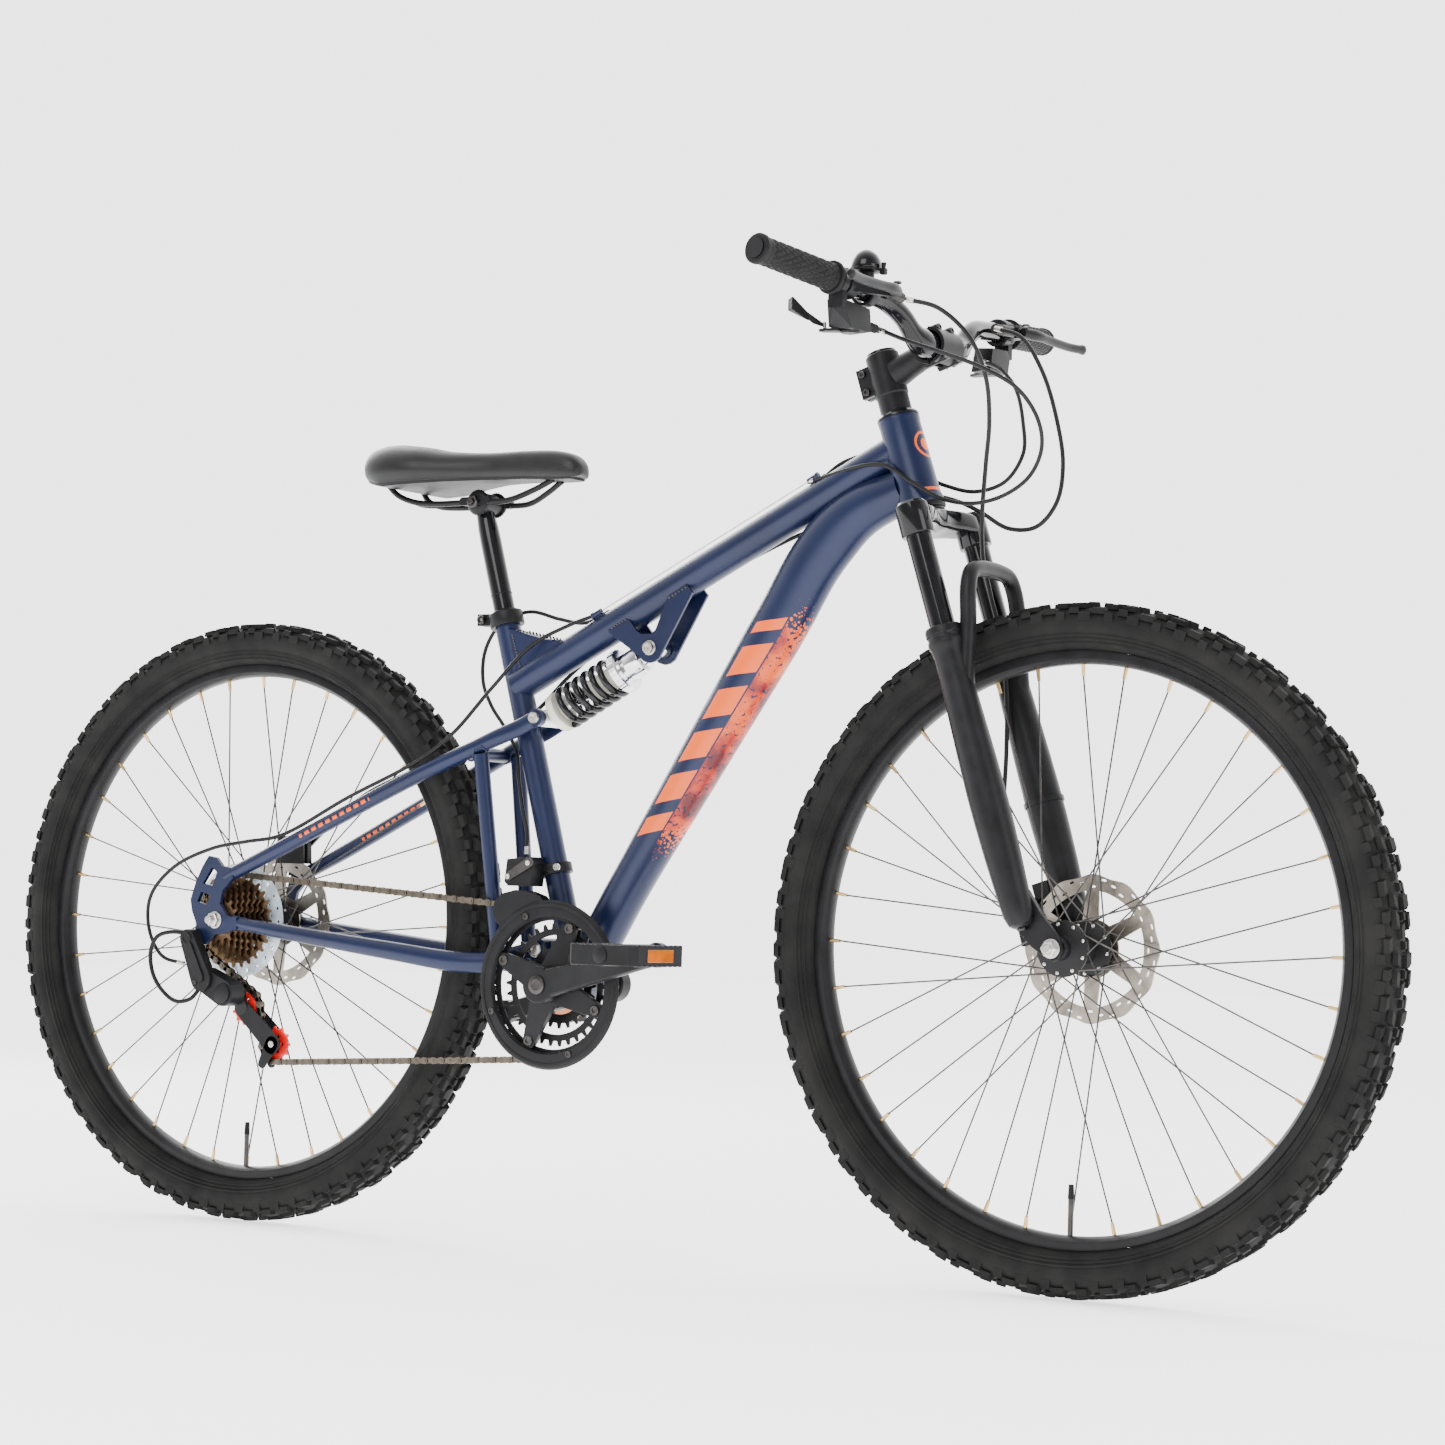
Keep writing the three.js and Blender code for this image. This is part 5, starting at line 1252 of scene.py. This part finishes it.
# ---------------------------------------------------------------- rear triangle
CHAINSTAY = [(-536, 66, 365), (-503, 66, 361), (-470, 65, 357), (-300, 59, 338), (-215, 52, 329),
             (-172, 41, 330),
             (-140, 32, 338), (-116, 30.5, 346)]
CHAINSTAY_SIZES = [(7, 7), (8.4, 8.6), (9, 9), (11, 9), (12, 9), (12, 8), (12, 6), (11, 5)]
SEATSTAY = [(-556, 66, 421), (-479, 63, 455), (-280, 49, 547), (-205, 37, 580), (-178, 33, 592),
            (-150, 30, 603),
            (-126, 28, 615)]
SEATSTAY_SIZES = [(8, 8), (9, 9), (9.5, 9.5), (9.5, 9.5), (10, 8), (10, 5), (10, 4.5)]
DROPOUT = [(-548, 374), (-540, 372), (-533, 374), (-532, 358), (-552, 352), (-568, 350), (-580, 338),
           (-594, 336),
           (-602, 346), (-596, 362), (-604, 378), (-607, 392), (-600, 412), (-590, 432), (-580, 446),
           (-568, 444),
           (-558, 434), (-546, 432), (-540, 420), (-550, 410), (-556, 404), (-560, 388)]
WINDOWS = [[(-588, 412), (-574, 432), (-566, 426), (-572, 410)],
           [(-596, 390), (-590, 402), (-576, 398), (-580, 386)]]


def sized_path(points, sizes, count):
    keys = np.array(points, float)
    path = smooth_path(points, count)
    return path, np.stack([np.interp(path[:, 0], keys[:, 0], np.array(sizes)[:, k]) for k in (0, 1)], -1)


def add_chainstays():
    shape = Shape()
    x, z = PIVOT[0], PIVOT[2]
    for side in (-1, 1):
        path, sizes = sized_path(mirrored(CHAINSTAY, side), CHAINSTAY_SIZES, 60)
        shape.sweep(path, sizes, "navy", 32)
        low, high = sorted((side * 22.8, side * 35))
        shape.rod_y(x, z, low, high, 14, "navy", 40)
        shape.bolt((x, side * 35, z), (0, side, 0), 9, 4, "steel", hexagon=side > 0)
        for t in np.linspace(0, TAU, 13)[:-1]:
            shape.revolve([(1.4, 0), (1.2, 0.7), (0.3, 1)],
                          (x + 11.8 * math.cos(t), side * 35, z + 11.8 * math.sin(t)),
                          (0, side, 0), "navy", 8)
    shape.rod_y(-172, 330, -40, 40, 8, "navy", 30)
    shape.rod_y(x, z, -35.5, 35.5, 5.8, "steel", 24)
    ends = Shape()
    for side in (-1, 1):
        ends.sweep([(-520, side * 66, 363), (-534, side * 66.6, 364.6), (-546, side * 67.6, 366)],
                   [(8.2, 7.6), (8.6, 5.6), (8.6, 2.4)], "navy", 24)
    ends.build("chainstay_tips", "swingarm", slot="navy_paint")
    shape.build("chainstay_pair", "swingarm", ["chainstays"], slot="navy_paint", bevel=0.6)


def add_seatstays():
    shape = Shape()
    for side in (-1, 1):
        path, sizes = sized_path(mirrored(SEATSTAY, side), SEATSTAY_SIZES, 70)
        shape.sweep(path, sizes, "stay", 32)
        tube = Shape()
        tube.sweep(path, sizes, "navy", 32)
        low, high = sorted((side * 67.5, side * 73))
        outline = DROPOUT if side < 0 else [p for p in DROPOUT if p[1] > 351.5]
        shape.plate(outline, low, high, "navy", WINDOWS)
        start, end = np.array((-198.0, side * 37, 572)), np.array((-169.0, side * 31, 343.5))
        shape.rod(start, end, 9, "navy", 30)
        weld(shape, tube, start + (end - start) * 0.2, start - end, (9, 9), 1.6, 48, 26)
        low, high = sorted((side * 24, side * 32))
        shape.rod_y(SHOCK_LOW[0], SHOCK_LOW[2], low, high, 10.6, "navy", 30)
        shape.bolt((SHOCK_LOW[0], side * 32, SHOCK_LOW[2]), (0, side, 0), 7, 5, "steel", hexagon=side > 0)
    shape.rod_y(-214, 573, -42, 42, 8, "navy", 30)
    for side in (-1, 1):
        ring = [(-214 + 8.2 * math.cos(t), side * 34, 573 + 8.2 * math.sin(t)) for t in np.linspace(0, TAU,
            41)[:-1]]
        shape.sweep(ring, [1.5 + 0.25 * math.sin(i * 2.1) for i in range(40)], "navy", 8, cyclic=True)
    shape.rod_y(SHOCK_LOW[0], SHOCK_LOW[2], -33, 33, 3.6, "steel", 16)
    shape.bolt((-596, -73, 345), (0, -1, 0), 6, 2, "dark_steel")
    shape.build("seatstay_pair", "swingarm", ["seatstays"], slot="navy_paint", bevel=0.5)


def add_rear_brake():
    shape = Shape()
    shape.box((-571, 42.4, 440), (-527, 46.6, 474), "satin", 0.92)
    shape.box((-571, 51.4, 440), (-527, 60, 474), "satin", 0.92)
    shape.box((-571, 44, 466), (-560, 58, 474), "satin")
    shape.box((-562, 57, 425), (-545, 66, 452), "satin")
    for z in (431, 446):
        shape.bolt((-553.5, 66, z), (0, 1, 0), 4.4, 3.6, "dark_steel")
    shape.rod((-541, 60, 462), (-541, 60.6, 462), 9, "dark_steel", 24)
    shape.build("rear_caliper_body", "swingarm", ["rear_caliper"], slot="satin_black", bevel=1.2)
    arm = Shape()
    arm.link((-541, 462), 7, (60.6, 63.8), (-512, 484), 4.5, (60.6, 63.8), "dark_steel")
    arm.bolt((-541, 63.8, 462), (0, 1, 0), 5, 3.6, "steel", hexagon=True)
    arm.bolt((-512, 63.8, 484), (0, 1, 0), 3.4, 2.8, "steel")
    arm.build("rear_brake_lever_arm", "rear_brake_arm", ["rear_brake_arm"], slot="steel", bevel=0.4)


# ---------------------------------------------------------------- gears
def add_rear_derailleur():
    shape = Shape()
    shape.revolve([(0.1, -91), (4, -91), (4.4, -92), (7.4, -92), (7.6, -90), (11, -89.4), (11.4, -74)],
                  (-596, 0, 345),
                  (0, 1, 0), "resin", 32)
    shape.link((-596, 345), 11, (-90, -76), (-574, 296), 15, (-88, -75.5), "resin", 30)
    shape.link((-574, 296), 14, (-86, -64), (-547, 280), 16, (-78, -54), "resin", 30)
    shape.link((-592, 336), 5, (-92, -90), (-574, 298), 6, (-90.5, -88), "satin", 20)
    for x, z, y in ((-574, 302, -88), (-566, 288, -84), (-582, 292, -88)):
        shape.bolt((x, y, z), (0, -1, 0), 2.8, 2, "dark_steel")
    shape.revolve([(12.6, -79), (12.6, -80.5), (9, -81.4), (0.1, -81.4)], (-547, 0, 280), (0, 1, 0), "satin",
                  30)
    guard = [(-600, -82, 350), (-616, -94, 352), (-634, -100, 346), (-644, -100, 328), (-640, -99, 300),
             (-622, -98, 278), (-600, -98, 268), (-584, -92, 272), (-578, -84, 284)]
    shape.tube(guard, 2.6, "satin", 12, 60)
    shape.build("rear_derailleur_links", "rear_derailleur", ["rear_derailleur_body"], slot="resin", bevel=1.0)

    cage = Shape()
    g, t = (GUIDE[0], GUIDE[2]), (TENSION[0], TENSION[2])
    for y0, y1 in ((-45.5, -43.8), (-28.2, -26.5)):
        cage.link(g, 11, (y0, y1), t, 12.5, (y0, y1), "resin", 30)
        cage.link(t, 10, (y0, y1), (-508, 196), 6, (y0, y1), "resin", 24)
    cage.link((-547, 280), 9, (-53.6, -44), g, 9, (-46, -44), "resin", 24)
    for x, z in (g, t):
        cage.rod_y(x, z, -45, -27, 2.5, "steel", 12)
        cage.bolt((x, -45.5, z), (0, -1, 0), 4.2, 1.8, "steel")
    cage.build("rear_derailleur_plates", "derailleur_cage", ["rear_derailleur_cage"], slot="resin", bevel=0.4)
    for name, centre in (("guide_pulley", GUIDE), ("tension_pulley", TENSION)):
        wheel = Shape()
        holes = [circle(centre[0], centre[2], 3, 14)] + [circle(*polar(centre, 9.4, k * TAU / 5), 2.4,
            10) for k in range(5)]
        wheel.plate(gear_outline(centre, 11, 18.4, 21.6), COG_PLANE - 1.1, COG_PLANE + 1.1, "red", holes)
        wheel.revolve([(3, -3.4), (6, -3.4), (6, 3.4), (3, 3.4)], (centre[0], COG_PLANE, centre[2]),
                      (0, 1, 0), "red", 20, True)
        wheel.build(name + "_wheel", name, [name], slot="red_resin", bevel=0.3)


def add_front_derailleur():
    shape = Shape()
    at = along_seat(137)
    shape.revolve([(15.4, -6), (18.8, -6), (19.2, -5), (19.2, 5), (18.8, 6), (15.4, 6)], at, seat_up,
                  "satin", 40, True)
    hull_of(shape, [(x, y, z) for x, z in ((-155, 424), (-150, 419), (-118, 419), (-115, 446), (-122, 453),
                                           (-152, 450))
                    for y in (-42, -16)], "satin")
    shape.link((-148, 430), 5, (-44.6, -42), (-120, 446), 6, (-44.6, -42), "dark_steel")
    for x, z in ((-148, 430), (-120, 446)):
        shape.bolt((x, -44.6, z), (0, -1, 0), 3.2, 1.8, "steel")
    shape.bolt((-98, -17, 442), (0, -1, 0), 4.4, 4, "steel")
    shape.build("front_derailleur_mount", "frame", ["front_derailleur_body"], slot="satin_black", bevel=0.8)
    cage = Shape()
    outline = [polar(BB, 91, math.radians(a)) for a in (96, 102, 108, 114, 120, 126, 132, 138)]
    outline += [(-154, 378), (-158, 388), (-156, 400), (-145, 410), (-126, 414.5), (-108, 413), (-92, 408)]
    for y0, y1 in ((-59.4, -57.9), (-44.5, -43)):
        cage.plate(outline, y0, y1, "satin")
    cage.box((-122, -59, 408), (-104, -43, 411.6), "satin")
    cage.box((-155, -59, 378.5), (-151, -43, 385), "satin")
    cage.build("front_derailleur_plates", "front_derailleur", ["front_derailleur_cage"], slot="satin_black",
               bevel=0.5)


def add_crankset():
    rings = Shape()
    for teeth, y, hole in ((42, RING_PLANE, 74), (34, RING_PLANE + 7.5, 57), (24, RING_PLANE + 14.5, 34)):
        pitch_radius = PITCH / 2 / math.sin(math.pi / teeth)
        rings.plate(gear_outline(BB, teeth, pitch_radius - 4.4, pitch_radius + 1.8), y - 1, y + 1, "satin",
                    [circle(BB[0], BB[2], hole, 48)])
    rings.revolve([(77, -59.9), (96.6, -59.9), (97, -60.6), (94.6, -63.6), (93, -64), (79.4, -64), (78, -62)],
                  (BB[0], 0, BB[2]), (0, 1, 0), "resin", 96, True)
    rings.revolve([(93, -64), (92.4, -64.8), (89.6, -64.8), (89, -64)], (BB[0], 0, BB[2]), (0, 1, 0),
                  "resin", 96, True)
    for i in range(4):
        x, z = polar(BB, 70, 0.4 + math.pi / 4 + i * math.pi / 2)
        rings.rod_y(x, z, -54, -37, 3.4, "steel", 14)
        rings.bolt((x, -60.2, z), (0, -1, 0), 6, 2.4, "dark_steel")
        x, z = polar(BB, 84, 0.4 + i * math.pi / 2)
        rings.rod_y(x, z, -60, -52, 2.4, "dark_steel", 12)
        rings.bolt((x, -64, z), (0, -1, 0), 4, 1.8, "dark_steel")
    rings.build("chainring_set", "crank", ["chainrings"], slot="satin_black", bevel=0.3)

    for name, side, turn in (("crank_right", -1, 0.0), ("crank_left", 1, math.pi)):
        shape = Shape()
        end = polar(BB, 170, CRANK_ANGLE + turn)
        near, far = ((-84, -66), (-93, -80)) if side < 0 else ((58.4, 78), (80, 93))
        heading = np.array((math.cos(CRANK_ANGLE + turn), 0, math.sin(CRANK_ANGLE + turn)))
        upward = np.array((-heading[2], 0, heading[0]))
        rows = []
        for t in np.linspace(0.06, 1, 14):
            lift = t * t * (3 - 2 * t)
            y0, y1 = (near[k] + (far[k] - near[k]) * lift for k in (0, 1))
            half = 16.5 - 5.5 * t
            centre = np.array((BB[0], 0, BB[2])) + heading * 170 * t
            ring = [(-half, 0.2), (-half * 0.86, 0.0), (half * 0.86, 0.0), (half, 0.2), (half, 0.8),
                    (half * 0.8, 1.0),
                    (-half * 0.8, 1.0), (-half, 0.8)]
            rows.append([centre + upward * u + (0, y0 + (y1 - y0) * v, 0) for u, v in ring])
        shape.rings(rows, "satin")
        shape.revolve([(0.1, near[0]), (19.6, near[0]), (21, near[0] + 1.6), (21, near[1] - 1.6),
                       (19.6, near[1]),
                       (0.1, near[1])], (BB[0], 0, BB[2]), (0, 1, 0), "satin", 44)
        shape.revolve([(0.1, far[0]), (12.6, far[0]), (14, far[0] + 1.4), (14, far[1] - 1.4), (12.6, far[1]),
                       (0.1, far[1])], (end[0], 0, end[1]), (0, 1, 0), "satin", 36)
        outside = near[0] if side < 0 else near[1]
        shape.bolt((BB[0], outside, BB[2]), (0, side, 0), 11, 2.4, "dark_steel")
        low, high = sorted((side * 78, side * 192))
        shape.rod_y(end[0], end[1], low, high, 5, "steel", 20)
        shape.revolve([(8.4, 0), (8.4, 3.4), (6.4, 4)], (end[0], side * 93, end[1]), (0, side, 0), "steel", 6)
        if side < 0:
            shape.rod_y(BB[0], BB[2], -66, 57, 8.4, "steel", 24)
            for i in range(4):
                x, z = polar(BB, 70, 0.4 + math.pi / 4 + i * math.pi / 2)
                shape.link((BB[0], BB[2]), 19, (-66, -55), (x, z), 8.6, (-60, -54), "satin", 24)
        shape.build(name + "_arm", "crank", [name], slot="resin", bevel=0.7)


def add_pedal(hand, side):
    x, z = polar(BB, 170, CRANK_ANGLE + (0 if side < 0 else math.pi))
    y0, y1 = sorted((side * 97, side * 199))
    shape = Shape()
    hole = [(x - 38, x - 12), (x + 12, x + 38)]
    frame_ring = [(x - 45, y0 + 8), (x - 38, y0), (x + 38, y0), (x + 45, y0 + 8), (x + 45, y1 - 8),
                  (x + 38, y1),
                  (x - 38, y1), (x - 45, y1 - 8)]
    windows = [[(a, y0 + 8), (b, y0 + 8), (b, y1 - 8), (a, y1 - 8)] for a, b in hole]
    body = Shape(Matrix(((1, 0, 0, 0), (0, 0, -1, 0), (0, 1, 0, z), (0, 0, 0, 1))))
    body.plate([(px, -py) for px, py in frame_ring], -11, 11, "resin",
               [[(px, -py) for px, py in w] for w in windows])
    shape.add([(p[0], -p[2], p[1] + z) for p in np.vstack(body.points)], body.faces, "resin")
    shape.rod_y(x, z, y0 + 1, y1 - 1, 12, "resin", 28)
    for px in (x - 44, x - 39, x + 39, x + 44):
        for k in range(9):
            y = y0 + 11 + k * (y1 - y0 - 22) / 8
            for top in (-1, 1):
                shape.rings([[(px - 2, y - 3, z + top * 10.8), (px + 2, y - 3, z + top * 10.8),
                              (px + 2, y + 3, z + top * 10.8), (px - 2, y + 3, z + top * 10.8)],
                             [(px - 1, y - 1.2, z + top * 12), (px + 1, y - 1.2, z + top * 12),
                              (px + 1, y + 1.2, z + top * 12), (px - 1, y + 1.2, z + top * 12)]], "resin")
    for turn in (-1, 1):
        a, b = sorted((x + turn * 42.5, x + turn * 45.6))
        shape.box((a, y0 + 26, z - 7), (b, y1 - 26, z + 7), "amber")
    outer = y0 if side < 0 else y1
    shape.revolve([(9, 0), (9, 1.2), (7.6, 2), (0.1, 2)], (x, outer, z), (0, side, 0), "resin", 24)
    shape.build("pedal_cage_" + hand, "pedal_" + hand, ["pedal_" + hand], slot="resin", bevel=0.6)


def belt_path(wheels, steps=24):
    points = []
    turns = []
    for a, b in zip(wheels, wheels[1:] + wheels[:1]):
        dx, dz = b[0] - a[0], b[1] - a[1]
        turns.append(math.atan2(dz, dx) + math.asin((b[2] - a[2]) / math.hypot(dx, dz)))
    for i, (x, z, r, y) in enumerate(wheels):
        start, stop = turns[i - 1], turns[i]
        if r > 0:
            stop -= TAU * math.ceil((stop - start) / TAU)
        else:
            stop += TAU * math.ceil((start - stop) / TAU)
        points += [(x - r * math.sin(t), y, z + r * math.cos(t)) for t in np.linspace(start, stop, steps)]
    return points


def add_chain():
    path = np.array(belt_path([(BB[0], BB[2], 85, RING_PLANE), (TENSION[0], TENSION[2], 22, COG_PLANE),
                               (GUIDE[0], GUIDE[2], -22, COG_PLANE), (REAR[0], REAR[2], 56.6, COG_PLANE)]))
    loop = np.vstack([path, path[:1]])
    reach = np.concatenate([[0], np.cumsum(np.linalg.norm(np.diff(loop, axis=0), axis=1))])
    count = int(round(reach[-1] / PITCH / 2)) * 2
    spots = np.linspace(0, reach[-1], count, endpoint=False)
    pins = np.stack([np.interp(spots, reach, loop[:, k]) for k in range(3)], -1)
    shape = Shape()
    for i, pin in enumerate(pins):
        after = pins[(i + 1) % count]
        shape.rod_y(pin[0], pin[2], pin[1] - 4.6, pin[1] + 4.6, 1.8, "chain", 10)
        shape.rod_y(pin[0], pin[2], pin[1] - 1.7, pin[1] + 1.7, 3.9, "chain", 12)
        offset = 3.6 if i % 2 else 2.4
        for side in (-1, 1):
            rows = [(pin[1] + side * offset - 0.5, pin[1] + side * offset + 0.5),
                    (after[1] + side * offset - 0.5, after[1] + side * offset + 0.5)]
            middle = ((pin[0] + after[0]) / 2, (pin[2] + after[2]) / 2)
            waist = tuple((rows[0][k] + rows[1][k]) / 2 for k in (0, 1))
            shape.link((pin[0], pin[2]), 4.1, rows[0], middle, 2.6, waist, "chain", 14)
            shape.link((after[0], after[2]), 4.1, rows[1], middle, 2.6, waist, "chain", 14)
    piece = shape.build("roller_chain", "frame", ["chain"], slot="steel", ride=False)
    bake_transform(piece)


# ---------------------------------------------------------------- rear shock
def along_shock(distance):
    axis = (SHOCK_TOP - SHOCK_LOW) * (1, 0, 1)
    return SHOCK_LOW + axis / np.linalg.norm(axis) * distance


def add_shock():
    axis = along_shock(1) - along_shock(0)
    length = np.linalg.norm((SHOCK_TOP - SHOCK_LOW) * (1, 0, 1))
    body = Shape()
    body.rod_y(SHOCK_TOP[0], SHOCK_TOP[2], -12.6, 12.6, 10, "chrome", 32)
    body.revolve([(0.1, 66), (12, 66), (13, 67), (13, 112), (13, 118), (16.6, 119), (17.4, 121), (17.4, 144),
                  (16.4, 147),
                  (12, 149), (11, 152), (11, length - 4)], along_shock(0), axis, "chrome", 40)
    body.revolve([(13.2, 110), (24, 110), (26, 111.4), (26, 120.6), (24, 122), (13.2, 122)], along_shock(0),
                 axis,
                 "chrome", 40, True)
    for k in range(20):
        t = k * TAU / 20
        up = np.cross((0, 1, 0), axis)
        c = along_shock(116) + up * 25.4 * math.cos(t) + np.array((0, 1, 0)) * 25.4 * math.sin(t)
        body.rod(c - axis * 4.4, c + axis * 4.4, 1.4, "chrome", 8)
    body.revolve([(13.1, 70), (13.6, 70), (13.6, 106), (13.1, 106)], along_shock(0), axis, "cream", 36, True)
    body.build("shock_canister", "shock_body", ["shock_body"], slot="chrome", bevel=0.5)

    shaft = Shape()
    shaft.rod_y(SHOCK_LOW[0], SHOCK_LOW[2], -22, 22, 10, "chrome", 32)
    shaft.revolve([(0.1, 5), (9.4, 5), (9.4, 13), (0.1, 13.2)], along_shock(0), axis, "chrome", 32)
    shaft.revolve([(0.1, 13), (23, 13), (24, 14), (24, 21), (23, 22.6), (12, 23), (11, 26), (0.1, 26)],
                  along_shock(0),
                  axis, "cream", 40)
    shaft.revolve([(0.1, 26), (5, 26), (5, 76), (0.1, 76)], along_shock(0), axis, "chrome", 24)
    shaft.build("shock_rod", "shock_shaft", ["shock_shaft"], slot="chrome", bevel=0.4)

    spring = Shape()
    up = np.cross((0, 1, 0), axis)
    low, high, coils = 27.2, 105.8, 6.5
    path = []
    for t in np.linspace(0, 1, 260):
        rise = np.interp(t, [0, 0.08, 0.92, 1], [0, 0.055, 0.945, 1])
        angle = t * coils * TAU
        path.append(along_shock(low + rise * (high - low)) + up * 22 * math.cos(angle) + np.array((0, 1,
            0)) * 22 * math.sin(angle))
    spring.sweep(path, 3.9, "gloss", 16)
    piece = spring.build("shock_coil", "shock_body", ["shock_spring"], slot="gloss_black")
    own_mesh(piece)


# ---------------------------------------------------------------- cables
FRONT_BRAKE_ROUTE = [
    (397, -101, 1056.5), (432, -94, 1046), (463, -80, 1015), (474, -62, 975), (468, -40, 930),
    (453, -18, 885), (436, 8, 832), (427, 30, 787), (433, 39, 747), (446, 40.5, 700), (454, 40.5, 640),
    (455, 41, 580), (452, 43, 520), (449, 50, 465), (454, 57, 430),
]
REAR_BRAKE_ROUTE = [
    (397, 101, 1056.5), (432, 95, 1044), (466, 82, 1003), (496, 62, 945), (513, 47, 890), (511, 37, 848),
    (490, 33, 823), (456, 33, 822), (421, 34, 841), (398, 34, 852), (376, 33, 859), (330, 33, 868),
    (285, 32.5, 862), (238, 31, 838), (190, 25, 822), (100, 22, 784), (-20, 22, 724), (-85, 22, 690),
    (-125, 24, 661), (-158, 29, 634), (-205, 41, 610), (-275, 50, 588), (-357, 56, 561), (-440, 60, 530),
    (-502, 62, 493),
]
REAR_SHIFT_ROUTE = [
    (373, -114, 1023), (410, -119, 1008), (452, -118, 993), (492, -105, 977), (524, -85, 956),
    (537, -62, 927), (535, -46, 898), (517, -36, 870), (486, -32, 851), (448, -31, 843), (409, -30, 849),
    (369, -29, 869), (326, -25, 891), (285, -17, 907), (258, -11, 901), (233, -8, 884), (210, -8, 872),
    (-40, -8, 746), (-62, -8, 735), (-95, -11, 724), (-140, -23, 700), (-185, -37, 650), (-232, -48, 596),
    (-276, -53, 565), (-375, -62, 519), (-471, -70, 472), (-515, -80, 464), (-563, -86, 455),
    (-622, -90, 430), (-655, -92, 394), (-656, -91, 354), (-636, -88, 322), (-604, -84, 314),
]
FRONT_SHIFT_ROUTE = [
    (373, 114, 1023), (400, 106, 1012), (430, 90, 985), (452, 68, 942), (462, 50, 905), (448, 36, 874),
    (415, 31, 864), (378, 29, 872), (336, 27, 890), (290, 17, 908), (258, 10, 901), (233, 8, 884),
    (210, 8, 872), (-40, 8, 746), (-62, 8, 735), (-90, 11, 728), (-130, 18, 734), (-177, 22, 744),
    (-218, 23, 732), (-240, 22, 700), (-240, 19, 662), (-222, 13, 632), (-196, 4, 607), (-172, -2, 576),
    (-162, -10, 545), (-148, -20, 510), (-137, -25, 482), (-135, -27, 456),
]


def sleeve(shape, route, radius, steps, capped=True):
    """Black cable sleeve with a metal ferrule at each end."""
    path = smooth_path(route, steps)
    shape.sweep(path, radius, "cable", 14)
    if capped:
        for a, b in ((path[0], path[2]), (path[-1], path[-3])):
            shape.rod(a, a + (b - a) / np.linalg.norm(b - a) * 9, radius + 0.7, "steel", 14)


def bent(shape, name, a, b, start, end, nodes=()):
    piece = shape.build(name, a, nodes, slot="cable_black", ride=False)
    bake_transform(piece)


STEER_BEND = ((0.396, 0, 1.057), (0.313, 0, 0.891))
SWING_BEND = ((-0.10, 0, 0.72), (-0.30, 0, 0.55))


def split_route(route, x):
    """The route's front part and rear part, meeting where it first comes back past x on the top tube."""
    for i in range(8, len(route) - 1):
        if route[i][0] >= x > route[i + 1][0]:
            t = (route[i][0] - x) / (route[i][0] - route[i + 1][0])
            middle = tuple(np.array(route[i]) + t * (np.array(route[i + 1]) - np.array(route[i])))
            return route[:i + 1] + [middle], [middle] + route[i + 1:]
    return route, []


def add_cables():
    front, rear = split_route(REAR_BRAKE_ROUTE, 60)
    shape = Shape()
    sleeve(shape, front, 2.5, 130)
    bent(shape, "rear_brake_hose_front", "steering", "frame", *STEER_BEND, ["rear_brake_cable"])
    shape = Shape()
    sleeve(shape, rear, 2.5, 110)
    bent(shape, "rear_brake_hose_rear", "frame", "swingarm", *SWING_BEND)

    shape = Shape()
    head = [p for p in REAR_SHIFT_ROUTE[:13]] + [(223, -8, 878.6)]
    sleeve(shape, head, 2.3, 130)
    bent(shape, "rear_shift_sleeve_front", "steering", "frame", *STEER_BEND, ["rear_shift_cable"])
    shape = Shape()
    shape.tube([(224, -8, 879), (80, -8, 806.5), (-52, -8, 740)], 0.8, "steel", 8, 12)
    shape.tube([(224, 8, 879), (80, 8, 806.5), (-52, 8, 740)], 0.8, "steel", 8, 12)
    shape.build("bare_shift_wires", "frame", slot="steel")
    shape = Shape()
    sleeve(shape, [(-54, -8, 739), *REAR_SHIFT_ROUTE[18:]], 2.3, 170)
    bent(shape, "rear_shift_sleeve_rear", "frame", "swingarm", *SWING_BEND)

    shape = Shape()
    sleeve(shape, FRONT_SHIFT_ROUTE[:12] + [(223, 8, 878.6)], 2.3, 130)
    bent(shape, "front_shift_sleeve_front", "steering", "frame", *STEER_BEND, ["front_shift_cable"])
    shape = Shape()
    sleeve(shape, [(-54, 8, 739), *FRONT_SHIFT_ROUTE[14:]], 2.3, 150)
    shape.build("front_shift_sleeve_rear", "frame", slot="cable_black")

    shape = Shape()
    sleeve(shape, FRONT_BRAKE_ROUTE, 2.5, 130)
    bent(shape, "front_brake_hose", "steering", "fork_lower", (0.45, 0, 0.80), (0.52, 0, 0.50),
         ["front_brake_cable"])
    clips = Shape(STEERING)
    clips.revolve([(21.4, -2.6), (22.6, -2.6), (22.6, 2.6), (21.4, 2.6)], (LEG_X, LEG_Y, -395), (0, 0, 1),
                  "cable", 40, True)
    clips.build("hose_clip", "fork_lower", slot="cable_black")


add_wheels()
add_frame()
add_seatpost()
add_saddle()
add_fork()
add_cockpit()
add_chainstays()
add_seatstays()
add_rear_brake()
add_rear_derailleur()
add_front_derailleur()
add_crankset()
add_pedal("right", -1)
add_pedal("left", 1)
add_chain()
add_shock()
add_cables()
